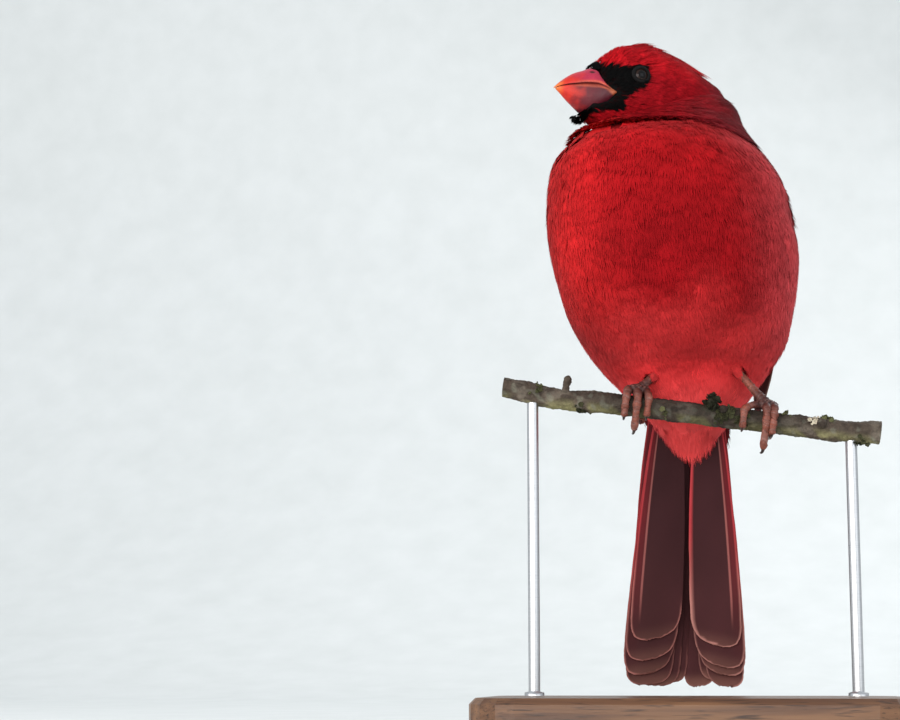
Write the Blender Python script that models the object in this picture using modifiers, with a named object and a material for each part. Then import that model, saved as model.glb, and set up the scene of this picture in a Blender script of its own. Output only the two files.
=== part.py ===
"""A life-size male northern cardinal, fluffed up and upright, gripping a cut length of branch.

The bird faces -Y with its head turned to its own right (-X) and its crest laid flat. The branch rests
on two rods over a flat base. Lengths are worked out in millimetres and turned into metres where a mesh
is made. The origin is the middle of the base's underside, +Z up.
"""

import math

import bmesh
import bpy
import numpy as np

MM = 0.001
GAP = 0.3

# Stand and perch
BASE_SIZE = (144.0, 112.0, 12.0)
BASE_EDGE = 2.0
ROD_RADIUS = 2.0
ROD_X = (-54.0, 54.0)
PERCH_HEIGHT = 108.0
PERCH_SLOPE = math.radians(7.8)
PERCH_RADIUS = 3.7
PERCH_REACH = 64.0

# Tail
TAIL_ROOT = np.array([-0.5, 30.5, PERCH_HEIGHT + 12.0])
TAIL_LEAN_BACK = math.radians(10.0)
TAIL_LEAN_SIDE = math.radians(1.6)
TAIL_LENGTHS = (91.0, 98.0, 103.5, 106.0, 106.5, 104.5)
TAIL_TIP_OFFSETS = (11.6, 12.6, 13.0, 12.4, 11.0, 8.6)
TAIL_HALF_WIDTHS = (8.3, 8.6, 8.6, 8.4, 8.2, 8.0)
TAIL_ROOT_OFFSET = 7.2
TAIL_PITCH = 0.8
VANE_THICKNESS = 0.55

# Head, in its own frame: forward, left and up from the point midway between the eyes
HEAD_PLACE = np.array([-20.7, -4.0, PERCH_HEIGHT + 116.1])
HEAD_TURN = math.radians(60.0)
HEAD_PITCH = math.radians(4.0)
EYE_RADIUS = 4.2
EYE_SIDE = 9.2
LID_RADIUS = 3.1
LID_THICKNESS = 0.55
LID_SIDE = 12.7
NECK_PLANE_RISE = 0.4255
NECK_PLANE_DROP = 11.8
NECK_MIDDLE = -9.8
NECK_HALF_SIZE = (25.6, 14.6)
NECK_FULLNESS = 1.4
CREST_PLANE = 9.4

# Feet
TOE_RADIUS = 1.35
CLAW_RADIUS = 0.85
WRAP_RADIUS = PERCH_RADIUS + GAP + 0.1 + TOE_RADIUS
FOOT_X = {"right": -18.2, "left": 25.2}
LEG_LEAN = {"right": (0.64, 0.20, 0.62), "left": (-0.58, 0.10, 0.74)}
LEG_BARE = {"right": 8.5, "left": 16.5}
TOE_SPREAD = {"right": (-3.5, 0.0, 3.6), "left": (-7.0, 0.0, 3.2)}

# Wings: distances run from shoulder (0) to tip (1), and sideways in millimetres from belly edge to back
WING_TOP = PERCH_HEIGHT + 89.0
WING_TIP = {"right": PERCH_HEIGHT + 5.0, "left": PERCH_HEIGHT + 3.0}
WING_ANGLE = {"right": (123.0, 152.0), "left": (120.0, 128.0)}
WING_SINK = 2.4
WING_HALF_WIDTH = ((0.0, 6.5), (0.06, 11.5), (0.18, 16.0), (0.4, 17.5), (0.55, 16.5), (0.72, 12.0), (0.9, 7.5), (1.02, 3.5))

# Torso sections from neck to undertail, above the perch: height, left, right, front, back
TORSO = (
    (97.0, -40.0, 21.0, -28.0, 22.5),
    (92.0, -43.2, 24.0, -34.0, 26.0),
    (86.0, -46.3, 28.6, -38.5, 28.5),
    (78.0, -48.0, 33.2, -41.8, 31.2),
    (67.0, -48.5, 35.6, -44.6, 33.8),
    (54.0, -47.2, 38.0, -45.4, 36.2),
    (42.0, -44.2, 37.3, -43.0, 38.4),
    (35.0, -42.2, 36.3, -38.8, 39.3),
    (29.0, -39.4, 34.8, -31.5, 40.0),
    (22.5, -35.2, 32.6, -18.0, 40.8),
    (17.0, -30.6, 28.8, -5.5, 41.1),
    (13.0, -26.8, 25.6, -1.0, 41.2),
    (9.0, -22.8, 22.6, 1.6, 41.2),
    (3.0, -17.0, 17.6, 5.0, 41.0),
    (-3.0, -12.4, 12.4, 9.0, 40.5),
    (-6.5, -8.6, 8.6, 17.5, 40.0),
    (-9.8, -4.2, 4.2, 27.0, 39.2),
)

# Where a folded wing hangs clear of the tapering belly: height, left, right, back
WING_HANG = (
    (60.0, -46.8, 37.0, 36.0),
    (42.0, -43.8, 36.4, 38.4),
    (30.0, -39.0, 34.6, 40.2),
    (20.0, -32.6, 32.4, 41.8),
    (10.0, -25.5, 30.2, 43.2),
    (0.0, -22.0, 28.6, 44.6),
    (-12.0, -20.0, 27.0, 46.0),
)

# Head sections from bill to nape: forward, half width, top, bottom
HEAD = (
    (13.6, 7.1, 3.6, -15.4),
    (12.2, 7.9, 5.6, -16.2),
    (9.5, 9.2, 8.4, -17.0),
    (5.0, 11.4, 11.4, -18.0),
    (0.0, 12.7, 13.6, -19.0),
    (-6.0, 14.0, 14.2, -19.5),
    (-13.0, 14.4, 12.9, -20.0),
    (-20.0, 13.6, 10.6, -20.0),
    (-26.0, 12.0, 7.6, -20.0),
    (-31.0, 9.6, 3.4, -19.0),
    (-34.5, 5.5, -0.5, -16.0),
)

# Bill sections from inside the head to the tip: forward, half width, culmen, mouth line, chin
BILL = (
    (8.0, 6.9, 2.7, -6.2, -13.2),
    (11.0, 6.7, 2.6, -4.9, -13.7),
    (14.0, 6.2, 2.2, -4.5, -13.5),
    (17.5, 5.1, 1.3, -4.6, -12.6),
    (21.0, 3.7, -0.6, -4.9, -10.9),
    (24.0, 2.3, -2.9, -5.4, -8.9),
    (26.0, 1.1, -4.7, -5.9, -7.1),
)
BILL_TIP = (27.2, -7.0)


def clear_scene():
    for obj in list(bpy.data.objects):
        bpy.data.objects.remove(obj, do_unlink=True)


def collection(name):
    made = bpy.data.collections.new(name)
    bpy.context.scene.collection.children.link(made)
    return made


def material(name, colour, roughness, metallic=0.0):
    made = bpy.data.materials.new(name)
    made.use_nodes = True
    shader = made.node_tree.nodes["Principled BSDF"]
    shader.inputs["Base Color"].default_value = (*colour, 1.0)
    shader.inputs["Roughness"].default_value = roughness
    shader.inputs["Metallic"].default_value = metallic
    return made


def unit(vector):
    vector = np.asarray(vector, float)
    return vector / np.linalg.norm(vector, axis=-1, keepdims=True)


def through(rows, at):
    """A smooth curve through table rows: cubic pieces whose slopes come from the neighbouring rows."""
    rows = np.asarray(rows, float)
    if rows[0, 0] > rows[-1, 0]:
        rows = rows[::-1]
    key, value = rows[:, 0], rows[:, 1:]
    at = np.clip(np.asarray(at, float), key[0], key[-1])
    slope = np.gradient(value, key, axis=0)
    i = np.clip(np.searchsorted(key, at) - 1, 0, len(key) - 2)
    span = (key[i + 1] - key[i])[..., None]
    t = ((at - key[i]) / (key[i + 1] - key[i]))[..., None]
    first = value[i] * (1 + 2 * t) * (1 - t) ** 2 + slope[i] * span * t * (1 - t) ** 2
    second = value[i + 1] * t * t * (3 - 2 * t) - slope[i + 1] * span * t * t * (1 - t)
    return first + second


def mesh_object(name, points, faces, group, finish=None):
    """An object from points in millimetres, with its faces turned outwards and smooth shading."""
    mesh = bpy.data.meshes.new(name)
    mesh.from_pydata((np.asarray(points) * MM).tolist(), [], [list(f) for f in faces])
    made = bmesh.new()
    made.from_mesh(mesh)
    bmesh.ops.recalc_face_normals(made, faces=made.faces)
    if made.calc_volume(signed=True) < 0:
        bmesh.ops.reverse_faces(made, faces=made.faces)
    made.to_mesh(mesh)
    made.free()
    mesh.shade_smooth()
    obj = bpy.data.objects.new(name, mesh)
    group.objects.link(obj)
    if finish:
        mesh.materials.append(finish)
    return obj


def loft(name, rings, group, finish=None):
    """A closed skin over a stack of rings with the same number of points, flat at both ends."""
    rings = np.asarray(rings, float)
    count, around = rings.shape[:2]
    points = np.concatenate([rings.reshape(-1, 3), rings[:1].mean(1), rings[-1:].mean(1)])
    first_pole, last_pole = count * around, count * around + 1
    faces = []
    for i in range(count - 1):
        for j in range(around):
            a, b = i * around + j, i * around + (j + 1) % around
            faces += [(a, b, b + around), (a, b + around, a + around)]
    for j in range(around):
        k = (j + 1) % around
        faces.append((k, j, first_pole))
        faces.append(((count - 1) * around + j, (count - 1) * around + k, last_pole))
    return mesh_object(name, points, faces, group, finish)


def evaluated_mesh(obj):
    graph = bpy.context.evaluated_depsgraph_get()
    return bpy.data.meshes.new_from_object(obj.evaluated_get(graph), depsgraph=graph)


def keep_largest(obj):
    """Drops every closed surface of the object except the largest, such as the wall of a sealed hollow."""
    made = bmesh.new()
    made.from_mesh(obj.data)
    bmesh.ops.triangulate(made, faces=made.faces)
    surfaces, seen = [], set()
    for start in made.faces:
        if start in seen:
            continue
        stack, surface = [start], []
        seen.add(start)
        while stack:
            face = stack.pop()
            surface.append(face)
            for other in (f for edge in face.edges for f in edge.link_faces):
                if other not in seen:
                    seen.add(other)
                    stack.append(other)
        surfaces.append(surface)

    def size(surface):
        corners = np.array([v.co for face in surface for v in face.verts])
        return float(np.prod(corners.max(0) - corners.min(0)))

    surfaces.sort(key=size)
    loose = [face for surface in surfaces[:-1] for face in surface]
    bmesh.ops.delete(made, geom=loose, context="FACES")
    made.to_mesh(obj.data)
    made.free()


def boolean(obj, other, operation, solver="EXACT"):
    """Cuts or joins one object, or a whole collection of them, and applies the result."""
    modifier = obj.modifiers.new(operation.lower(), "BOOLEAN")
    modifier.operation = operation
    modifier.solver = solver
    if isinstance(other, bpy.types.Collection):
        modifier.operand_type = "COLLECTION"
        modifier.collection = other
    else:
        modifier.object = other
    finish = list(obj.data.materials)
    done = evaluated_mesh(obj)
    obj.modifiers.clear()
    obj.data = done
    done.materials.clear()
    for each in finish:
        done.materials.append(each)
    keep_largest(obj)
    obj.data.shade_smooth()
    return obj


def remove(obj):
    bpy.data.objects.remove(obj, do_unlink=True)


def cut(obj, *cutters, solver="EXACT"):
    for cutter in cutters:
        boolean(obj, cutter, "DIFFERENCE", solver)
        remove(cutter)
    return obj


def fuse(obj, pieces, solver="MANIFOLD"):
    """Joins a list of closed pieces to the object in one union."""
    group = collection("pieces of " + obj.name)
    for piece in pieces:
        for old in piece.users_collection:
            old.objects.unlink(piece)
        group.objects.link(piece)
    boolean(obj, group, "UNION", solver)
    for piece in pieces:
        remove(piece)
    bpy.data.collections.remove(group)
    return obj


def tube(name, path, radii, group, finish=None, resolution=2):
    """A round tube along a path, its radius given at each point, as a curve turned into a closed mesh."""
    curve = bpy.data.curves.new(name, "CURVE")
    curve.dimensions = "3D"
    curve.bevel_depth = MM
    curve.bevel_resolution = resolution
    curve.use_fill_caps = True
    spline = curve.splines.new("POLY")
    spline.points.add(len(path) - 1)
    for point, place, radius in zip(spline.points, path, radii):
        point.co = (*(np.asarray(place) * MM), 1.0)
        point.radius = radius
    drawn = bpy.data.objects.new(name + " line", curve)
    group.objects.link(drawn)
    bpy.context.view_layer.update()
    mesh = evaluated_mesh(drawn)
    remove(drawn)
    made = bmesh.new()
    made.from_mesh(mesh)
    bmesh.ops.remove_doubles(made, verts=made.verts, dist=0.00001)
    bmesh.ops.triangulate(made, faces=made.faces)
    bmesh.ops.recalc_face_normals(made, faces=made.faces)
    made.to_mesh(mesh)
    made.free()
    mesh.shade_smooth()
    mesh.materials.clear()
    obj = bpy.data.objects.new(name, mesh)
    group.objects.link(obj)
    if finish:
        mesh.materials.append(finish)
    return obj


def ball(name, place, radius, group, finish=None, segments=16, rings=10):
    bpy.ops.mesh.primitive_uv_sphere_add(
        segments=segments, ring_count=rings, radius=radius * MM, location=np.asarray(place) * MM
    )
    return adopt(bpy.context.object, name, group, finish)


def adopt(obj, name, group, finish=None):
    """Names a primitive, moves it to its collection and works its scale and turn into its mesh."""
    obj.name = name
    obj.data.name = name
    for old in obj.users_collection:
        old.objects.unlink(obj)
    group.objects.link(obj)
    bpy.context.view_layer.update()
    obj.data.transform(obj.matrix_world)
    obj.matrix_world.identity()
    obj.data.shade_smooth()
    if finish:
        obj.data.materials.append(finish)
    return obj


def vane(name, centre, side, normal, half_widths, thickness, group):
    """A feather's vane: a thin closed plate along a centre line, split into triangles alike on both faces.

    centre, side and normal hold one row for each station from root to tip.
    """
    centre, side, normal = (np.asarray(a, float) for a in (centre, side, normal))
    half = side * np.asarray(half_widths, float)[:, None]
    thick = normal * thickness / 2
    corners = (centre - half + thick, centre + half + thick, centre + half - thick, centre - half - thick)
    points = np.stack(corners, axis=1).reshape(-1, 3)
    faces, last = [(0, 1, 2), (0, 2, 3)], 4 * (len(centre) - 1)
    for i in range(len(centre) - 1):
        near, far = np.arange(4) + 4 * i, np.arange(4) + 4 * i + 4
        faces += [(near[0], near[1], far[1]), (near[0], far[1], far[0])]
        faces += [(near[3], near[2], far[2]), (near[3], far[2], far[3])]
        for a, b in ((1, 2), (3, 0)):
            faces += [(near[a], near[b], far[b]), (near[a], far[b], far[a])]
    faces += [(last, last + 1, last + 2), (last, last + 2, last + 3)]
    return mesh_object(name, points, faces, group)


def feather_outline(steps, root_share, tip_share):
    """Stations along a vane and its half width at each: a narrow root, then level, then a round tip."""
    turns = np.radians((0.0, 42.0, 78.0))
    body = np.linspace(0.0, 1.0 - tip_share, steps)[:-1]
    along = np.concatenate([body, 1.0 - tip_share + tip_share * np.sin(turns)])
    grow = root_share + (1 - root_share) * np.clip(along / 0.4, 0, 1) ** 0.7
    grow[-len(turns):] *= np.cos(turns) ** 0.85
    return along, grow


def torso_section(height):
    """Middle and half size of the torso's horizontal section at a height: x, y, half x, half y."""
    left, right, front, back = np.moveaxis(through(TORSO, np.asarray(height) - PERCH_HEIGHT), -1, 0)
    return (left + right) / 2, (front + back) / 2, (right - left) / 2, (back - front) / 2


def torso_point(height, angle):
    """Surface point at a height and an angle in radians, 0 at the breast and positive to the bird's left."""
    x, y, half_x, half_y = torso_section(height)
    height = np.broadcast_to(height, np.broadcast(x, angle).shape)
    return np.stack([x + half_x * np.sin(angle), y - half_y * np.cos(angle), height], axis=-1)


def shell_point(height, angle):
    """The surface that the wings lie on: the torso, and lower down the line that the wings hang along."""
    x, y, half_x, half_y = torso_section(height)
    above = np.asarray(height) - PERCH_HEIGHT
    left, right, back = np.moveaxis(through(WING_HANG, above), -1, 0)
    low = np.clip((58.0 - above) / 20.0, 0, 1)
    left = (x - half_x) * (1 - low) + np.minimum(left, x - half_x) * low
    right = (x + half_x) * (1 - low) + np.maximum(right, x + half_x) * low
    back = (y + half_y) * (1 - low) + np.maximum(back, y + half_y) * low
    middle, half = (left + right) / 2, (right - left) / 2
    deep = np.maximum(back - y, 20.0)
    height = np.broadcast_to(height, np.broadcast(x, angle).shape)
    return np.stack([middle + half * np.sin(angle), y - deep * np.cos(angle), height], axis=-1)


def wing_place(side, along, across, lift):
    """A point on a folded wing: along 0 to 1 from shoulder to tip, across in mm towards the back."""
    sign = 1.0 if side == "left" else -1.0
    start, end = WING_ANGLE[side]

    def at(s, b):
        height = WING_TOP + (WING_TIP[side] - WING_TOP) * s
        angle = np.radians(start + (end - start) * np.clip(s, 0, 1.1) ** 1.3) + b / 39.0
        return shell_point(height, sign * angle)

    along, across = np.broadcast_arrays(np.asarray(along, float), np.asarray(across, float))
    here = at(along, across)
    down = unit(at(along + 0.01, across) - at(along - 0.01, across))
    backwards = unit(at(along, across + 0.5) - at(along, across - 0.5))
    normal = unit(np.cross(down, backwards)) * sign
    return here + normal * np.asarray(lift, float)[..., None], down, backwards, normal


def wing_half_width(along):
    """Half width of the folded wing, in mm, rounded at the shoulder."""
    return through(WING_HALF_WIDTH, along)[..., 0]


def wing_slab(name, side, group, low, high, end, grow, steps=10, finish=None):
    """The folded arm: a plate on the shell between two lifts, its outline grown by a margin."""
    along = np.linspace(-grow / 90.0, end, steps)
    half = wing_half_width(np.clip(along, 0, 1.02)) + grow
    if end < 1.0:
        half = half * (1 - 0.45 * np.clip((along - 0.36) / (end - 0.36), 0, 1) ** 2)
    spread = np.linspace(-1, 1, 5)
    rings = []
    for s, width in zip(along, half):
        rounding, deeper, reach = 1.1 * spread**2, 0.0, spread * width
        if grow >= 1:
            # The room for the feathers, which cross the slanting end of the wing's outline
            rounding, deeper = 0.0, 1.4 * np.clip((s - 0.3) / 0.2, 0, 1)
            reach = reach - 3.6 * np.clip((s - 0.6) / 0.12, 0, 1) * np.clip(-spread, 0, 1)
        outer = wing_place(side, s, reach, high - rounding)[0]
        inner = wing_place(side, s, reach[::-1], low - deeper)[0]
        rings.append(np.concatenate([outer, inner]))
    return loft(name, rings, group, finish)


def wing_feather(side, group, root, tip, half_width, lifts, tilt, steps=3):
    """One wing feather from root to tip, each given as (along, across); lifts are those of root and tip."""
    share, outline = feather_outline(steps, 0.6, 0.22)
    along = root[0] + (tip[0] - root[0]) * share
    across = root[1] + (tip[1] - root[1]) * share
    lift = lifts[0] + (lifts[1] - lifts[0]) * share
    place, down, backwards, normal = wing_place(side, along, across, lift)
    course = unit(np.gradient(place, axis=0))
    edge = unit(np.cross(course, normal))
    edge *= np.sign(np.sum(edge * backwards, axis=1, keepdims=True))
    raised = unit(edge + normal * tilt)
    facing = unit(np.cross(raised, course))
    facing *= np.sign(np.sum(facing * normal, axis=1, keepdims=True))
    return vane("feather", place, raised, facing, outline * half_width, VANE_THICKNESS, group)


def make_wing(side, group, finish):
    """The folded wing: a smooth shoulder, then coverts in tiers over the secondaries and primaries.

    Each row gives a tier: how many, the first and last root and tip, the half width and the lifts.
    """
    tiers = (
        (6, ((0.34, -5.5), (0.34, -11.5)), ((0.76, 6.0), (1.0, -2.0)), 4.0, (-1.2, -1.2), (-0.7, -1.0), 5),
        (4, ((0.34, 6.5), (0.36, -4.5)), ((0.68, 10.0), (0.74, 1.5)), 4.1, (-1.2, -1.2), (0.6, 0.1), 2),
        (3, ((0.30, 14.0), (0.30, 9.5)), ((0.54, 14.5), (0.66, 11.5)), 4.3, (-0.9, -0.9), (1.6, 1.0), 2),
        (2, ((0.24, -12.0), (0.24, -8.5)), ((0.47, -12.5), (0.45, -8.0)), 3.2, (-1.2, -1.2), (0.2, 0.5), 2),
        (5, ((0.24, -6.5), (0.24, 11.5)), ((0.43, -5.0), (0.44, 13.5)), 4.4, (-1.0, -1.0), (0.9, 1.1), 2),
        (4, ((0.12, -7.5), (0.12, 9.0)), ((0.28, -7.5), (0.29, 11.5)), 4.6, (-1.2, -1.2), (0.7, 0.9), 2),
        (1, ((0.12, -11.5), (0.12, -11.5)), ((0.33, -14.0), (0.33, -14.0)), 2.4, (-1.2, -1.2), (0.3, 0.3), 2),
    )
    wing = wing_slab("wing_" + side, side, group, -WING_SINK, -0.2, 0.5, 0.0, finish=finish)
    pieces = []
    for count, roots, tips, half_width, root_lifts, tip_lifts, steps in tiers:
        for share in np.linspace(0, 1, count):
            root, tip = (np.array(pair[0]) * (1 - share) + np.array(pair[1]) * share for pair in (roots, tips))
            lifts = [pair[0] + (pair[1] - pair[0]) * share for pair in (root_lifts, tip_lifts)]
            pieces.append(wing_feather(side, group, root, tip, half_width, lifts, -0.09, steps))
    fuse(wing, pieces)
    return wing


def tail_frame():
    """The tail's directions: down its length, to the bird's left, and out of its upper side."""
    back, side = math.sin(TAIL_LEAN_BACK), math.sin(TAIL_LEAN_SIDE)
    down = unit([-side, back, -math.cos(TAIL_LEAN_BACK)])
    left = unit(np.cross([0.0, math.cos(TAIL_LEAN_BACK), back], down))
    left = left if left[0] > 0 else -left
    return down, left, unit(np.cross(down, left)) * np.sign(np.cross(down, left)[1])


def make_tail(group, finish):
    """Twelve rectrices, six a side, the outermost shortest and lowest, joined only in the root."""
    down, left, upper = tail_frame()
    pieces = []
    for sign in (-1.0, 1.0):
        for k, length in enumerate(TAIL_LENGTHS):
            along, outline = feather_outline(4, 0.5, 0.085)
            sideways = sign * (TAIL_ROOT_OFFSET + (TAIL_TIP_OFFSETS[k] - TAIL_ROOT_OFFSET) * along)
            lifted = (k - 2.5) * TAIL_PITCH + 1.0 * along * (1 - along)
            centre = TAIL_ROOT + np.outer(2 * GAP + along * length, down) + np.outer(sideways, left)
            centre = centre + np.outer(lifted, upper)
            side = np.broadcast_to(left, centre.shape)
            normal = unit(np.cross(np.gradient(centre, axis=0), side))
            normal *= np.sign(normal @ upper)[:, None]
            half = outline * TAIL_HALF_WIDTHS[k]
            pieces.append(vane("rectrix", centre, side, normal, half, VANE_THICKNESS - 0.05, group))
    root = loft("tail", tail_block(2 * GAP, 9.0, 12.2, TAIL_PITCH * 2.5 + 0.5, 0.0), group, finish)
    fuse(root, pieces)
    return root


def tail_block(start, end, half_width, half_depth, grow):
    """Rings of a rounded block round the tail's root, between two distances down it."""
    down, left, upper = tail_frame()
    turns = np.linspace(0, 2 * np.pi, 12, endpoint=False)
    ring = np.outer(np.cos(turns) * (half_width + grow), left) + np.outer(np.sin(turns) * (half_depth + grow), upper)
    return [TAIL_ROOT + down * step + ring for step in np.linspace(start - grow, end + grow, 3)]


def plane_block(name, point, normal, group, size=160.0):
    """A large box whose one face lies in a plane, on the side its normal points away from."""
    normal = unit(normal)
    helper = np.array([1.0, 0, 0]) if abs(normal[0]) < 0.8 else np.array([0, 1.0, 0])
    u = unit(np.cross(normal, helper))
    v = np.cross(normal, u)
    square = [(-1, -1), (1, -1), (1, 1), (-1, 1)]
    rings = [
        [np.asarray(point) + (u * a + v * b) * size / 2 - normal * depth for a, b in square]
        for depth in (0.0, size)
    ]
    return loft(name, rings, group)


def perch_axis(x):
    """A point on the perch's middle line."""
    return np.array([x, 0.0, PERCH_HEIGHT - math.tan(PERCH_SLOPE) * x])


PERCH_ALONG = np.array([math.cos(PERCH_SLOPE), 0.0, -math.sin(PERCH_SLOPE)])
PERCH_UP = np.array([math.sin(PERCH_SLOPE), 0.0, math.cos(PERCH_SLOPE)])
BACK = np.array([0.0, 1.0, 0.0])


def perch_path(grow=0.0):
    """The perch's line and radii: straight under the feet, wandering and knotted towards its cut ends."""
    x = np.linspace(-PERCH_REACH, PERCH_REACH, 19)
    away = np.clip((np.abs(x - 4.0) - 34.0) / 20.0, 0, 1)
    path = np.array([perch_axis(v) for v in x])
    path[:, 1] += away * 1.6 * np.sin(x / 9.0)
    path[:, 2] += away * 1.2 * np.cos(x / 11.0)
    radii = PERCH_RADIUS + 0.25 * away * np.sin(x / 3.1) + grow
    return path, radii


def make_perch(group, finish):
    path, radii = perch_path()
    perch = tube("perch_branch", path, radii, group, finish, 3)
    buds = []
    for x, turn, length, radius in ((6.6, 20.0, 6.6, 1.6), (10.6, 60.0, 5.6, 1.3), (-43.0, 20.0, 8.0, 1.3), (43.5, 75.0, 6.2, 1.5)):
        out = math.cos(math.radians(turn)) * PERCH_UP - math.sin(math.radians(turn)) * BACK
        steps = np.linspace(0.3, 1.0, 4)[:, None]
        line = perch_axis(x) + steps * length * out + steps**2 * PERCH_ALONG * 0.8
        buds.append(tube("bud", line, radius * np.array([1.1, 0.9, 1.1, 0.5]), group, resolution=1))
    fuse(perch, buds)
    return perch


def toe_line(foot_x, start, offset, first, last, free_end, count):
    """A toe's line round the perch, first and last in degrees from its top towards the front."""
    turns = np.radians(np.linspace(first, last, count))
    share = np.linspace(0, 1, count)
    x = foot_x + start + (offset - start) * np.clip(share * 1.8, 0, 1) ** 0.8
    middle = np.array([perch_axis(v) for v in x])
    line = middle + WRAP_RADIUS * (np.outer(np.cos(turns), PERCH_UP) - np.outer(np.sin(turns), BACK))
    heading = unit(line[-1] - line[-2])
    extra = np.array([line[-1] + heading * free_end * t for t in (0.5, 1.0)])
    return np.concatenate([line, extra])


def claw_line(end, heading, towards, length):
    """A claw's line: on from the toe, curving towards the perch."""
    t = np.linspace(0, 1, 5)[:, None]
    return end + heading * length * (t - 0.30 * t**2) + towards * length * 0.42 * t**2


def make_foot(side, group, skin, horn, pads):
    """Three toes in front and one behind, each with its claw, round the end of the bare leg."""
    x = FOOT_X[side]
    hub = perch_axis(x) + PERCH_UP * (WRAP_RADIUS + 0.5)
    hub_size = np.array([3.7, 2.5, 1.75])
    spread = TOE_SPREAD[side]
    # Each toe: where it lies across, its first and last angle round the perch, its free end and its radius
    toes = {
        "inner": (spread[0] if side == "left" else spread[2], 12.0, 104.0, 2.4, 1.3),
        "middle": (spread[1], 16.0, 112.0, 5.4, 1.4),
        "outer": (spread[2] if side == "left" else spread[0], 12.0, 108.0, 3.0, 1.3),
        "hind": (1.9, -22.0, -134.0, 1.2, 1.4),
    }
    for name, (offset, first, last, free_end, radius) in toes.items():
        start = 0.86 * offset if abs(offset) < 5 else 0.5 * offset
        line = toe_line(x, start, offset, first, last, free_end, 8)
        share = np.linspace(0, 1, len(line))
        radii = radius * (1.02 - 0.24 * share + 0.09 * np.cos(share * pads[name] * 2 * np.pi))
        end, heading = line[-1], unit(line[-1] - line[-2])
        inward = unit(perch_axis(end[0]) - end)
        inward = unit(inward - heading * (inward @ heading))
        toe = tube(f"toe_{side}_{name}", line, radii, group, skin)
        claw = claw_line(end + heading * GAP, heading, inward, 5.6 if name != "hind" else 7.0)
        taper = CLAW_RADIUS * np.array([1.0, 0.88, 0.66, 0.4, 0.16])
        tube(f"claw_{side}_{name}", claw, taper, group, horn, 1)
        cut(toe, ellipsoid("hub room", hub, hub_size + GAP, group))
    tarsus_end = hub + unit(LEG_LEAN[side]) * LEG_BARE[side]
    steps = np.linspace(0, 1, 6)[:, None]
    line = hub + (tarsus_end - hub) * steps
    leg = tube(f"tarsus_{side}", line, np.array([1.5, 1.3, 1.15, 1.1, 1.1, 1.25]), group, skin)
    fuse(leg, [ellipsoid("hub", hub, hub_size, group)])
    return leg, tarsus_end


def ellipsoid(name, place, half_size, group):
    """A ball stretched along the perch, across it and upwards."""
    made = ball(name, (0, 0, 0), 1.0, group, segments=14, rings=8)
    axes = np.stack([PERCH_ALONG, BACK, PERCH_UP]).T @ np.diag(half_size)
    co = np.array([v.co for v in made.data.vertices]) / MM
    for vert, place_mm in zip(made.data.vertices, co @ axes.T + np.asarray(place)):
        vert.co = place_mm * MM
    return made


def thigh_line(side, tarsus_end, grow=0.0):
    """The feathered upper leg, widening from the bare leg's end into the belly."""
    lean = unit(LEG_LEAN[side])
    up = unit(lean + np.array([0.0, -0.25, 0.35]))
    steps = np.linspace(0, 1, 6)[:, None]
    line = tarsus_end + lean * GAP + lean * 15.0 * steps + (up - lean) * 9.0 * steps**2
    line[0] -= lean * grow
    line[-1] += unit(line[-1] - line[-2]) * grow
    radii = np.array([2.2, 3.6, 4.9, 5.9, 6.3, 5.2]) + grow * 1.25
    return line, radii


def head_frame():
    """Columns: the head's forward, left and up directions in the bird's frame."""
    flat = np.array([-math.sin(HEAD_TURN), -math.cos(HEAD_TURN), 0.0])
    left = np.array([math.cos(HEAD_TURN), -math.sin(HEAD_TURN), 0.0])
    level = np.array([0.0, 0.0, 1.0])
    forward = flat * math.cos(HEAD_PITCH) + level * math.sin(HEAD_PITCH)
    up = level * math.cos(HEAD_PITCH) - flat * math.sin(HEAD_PITCH)
    return np.stack([forward, left, up], axis=1)


def from_head(points):
    return HEAD_PLACE + np.asarray(points, float) @ head_frame().T


def head_rings(count=16, around=20):
    """The head's sections, leaning forward at the chin, as rings in the bird's frame."""
    forward = np.concatenate([[13.6, 13.1], np.linspace(11.8, -32.5, count - 4), [-34.2, -34.5]])
    half, top, bottom = through(HEAD, forward).T
    turns = np.linspace(0, 2 * np.pi, around, endpoint=False)
    rings = []
    for f, w, high, low in zip(forward, half, top, bottom):
        up = (high + low) / 2 + (high - low) / 2 * np.cos(turns)
        left = w * np.sign(np.sin(turns)) * np.abs(np.sin(turns)) ** 0.92
        slant = np.where(up < 0, 0.33 * np.minimum(-up, 12.5), -0.14 * up)
        lean = np.clip((f - 4.0) / 9.6, 0, 1) * slant
        rings.append(from_head(np.stack([f + lean, left, up], axis=1)))
    return rings


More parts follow.
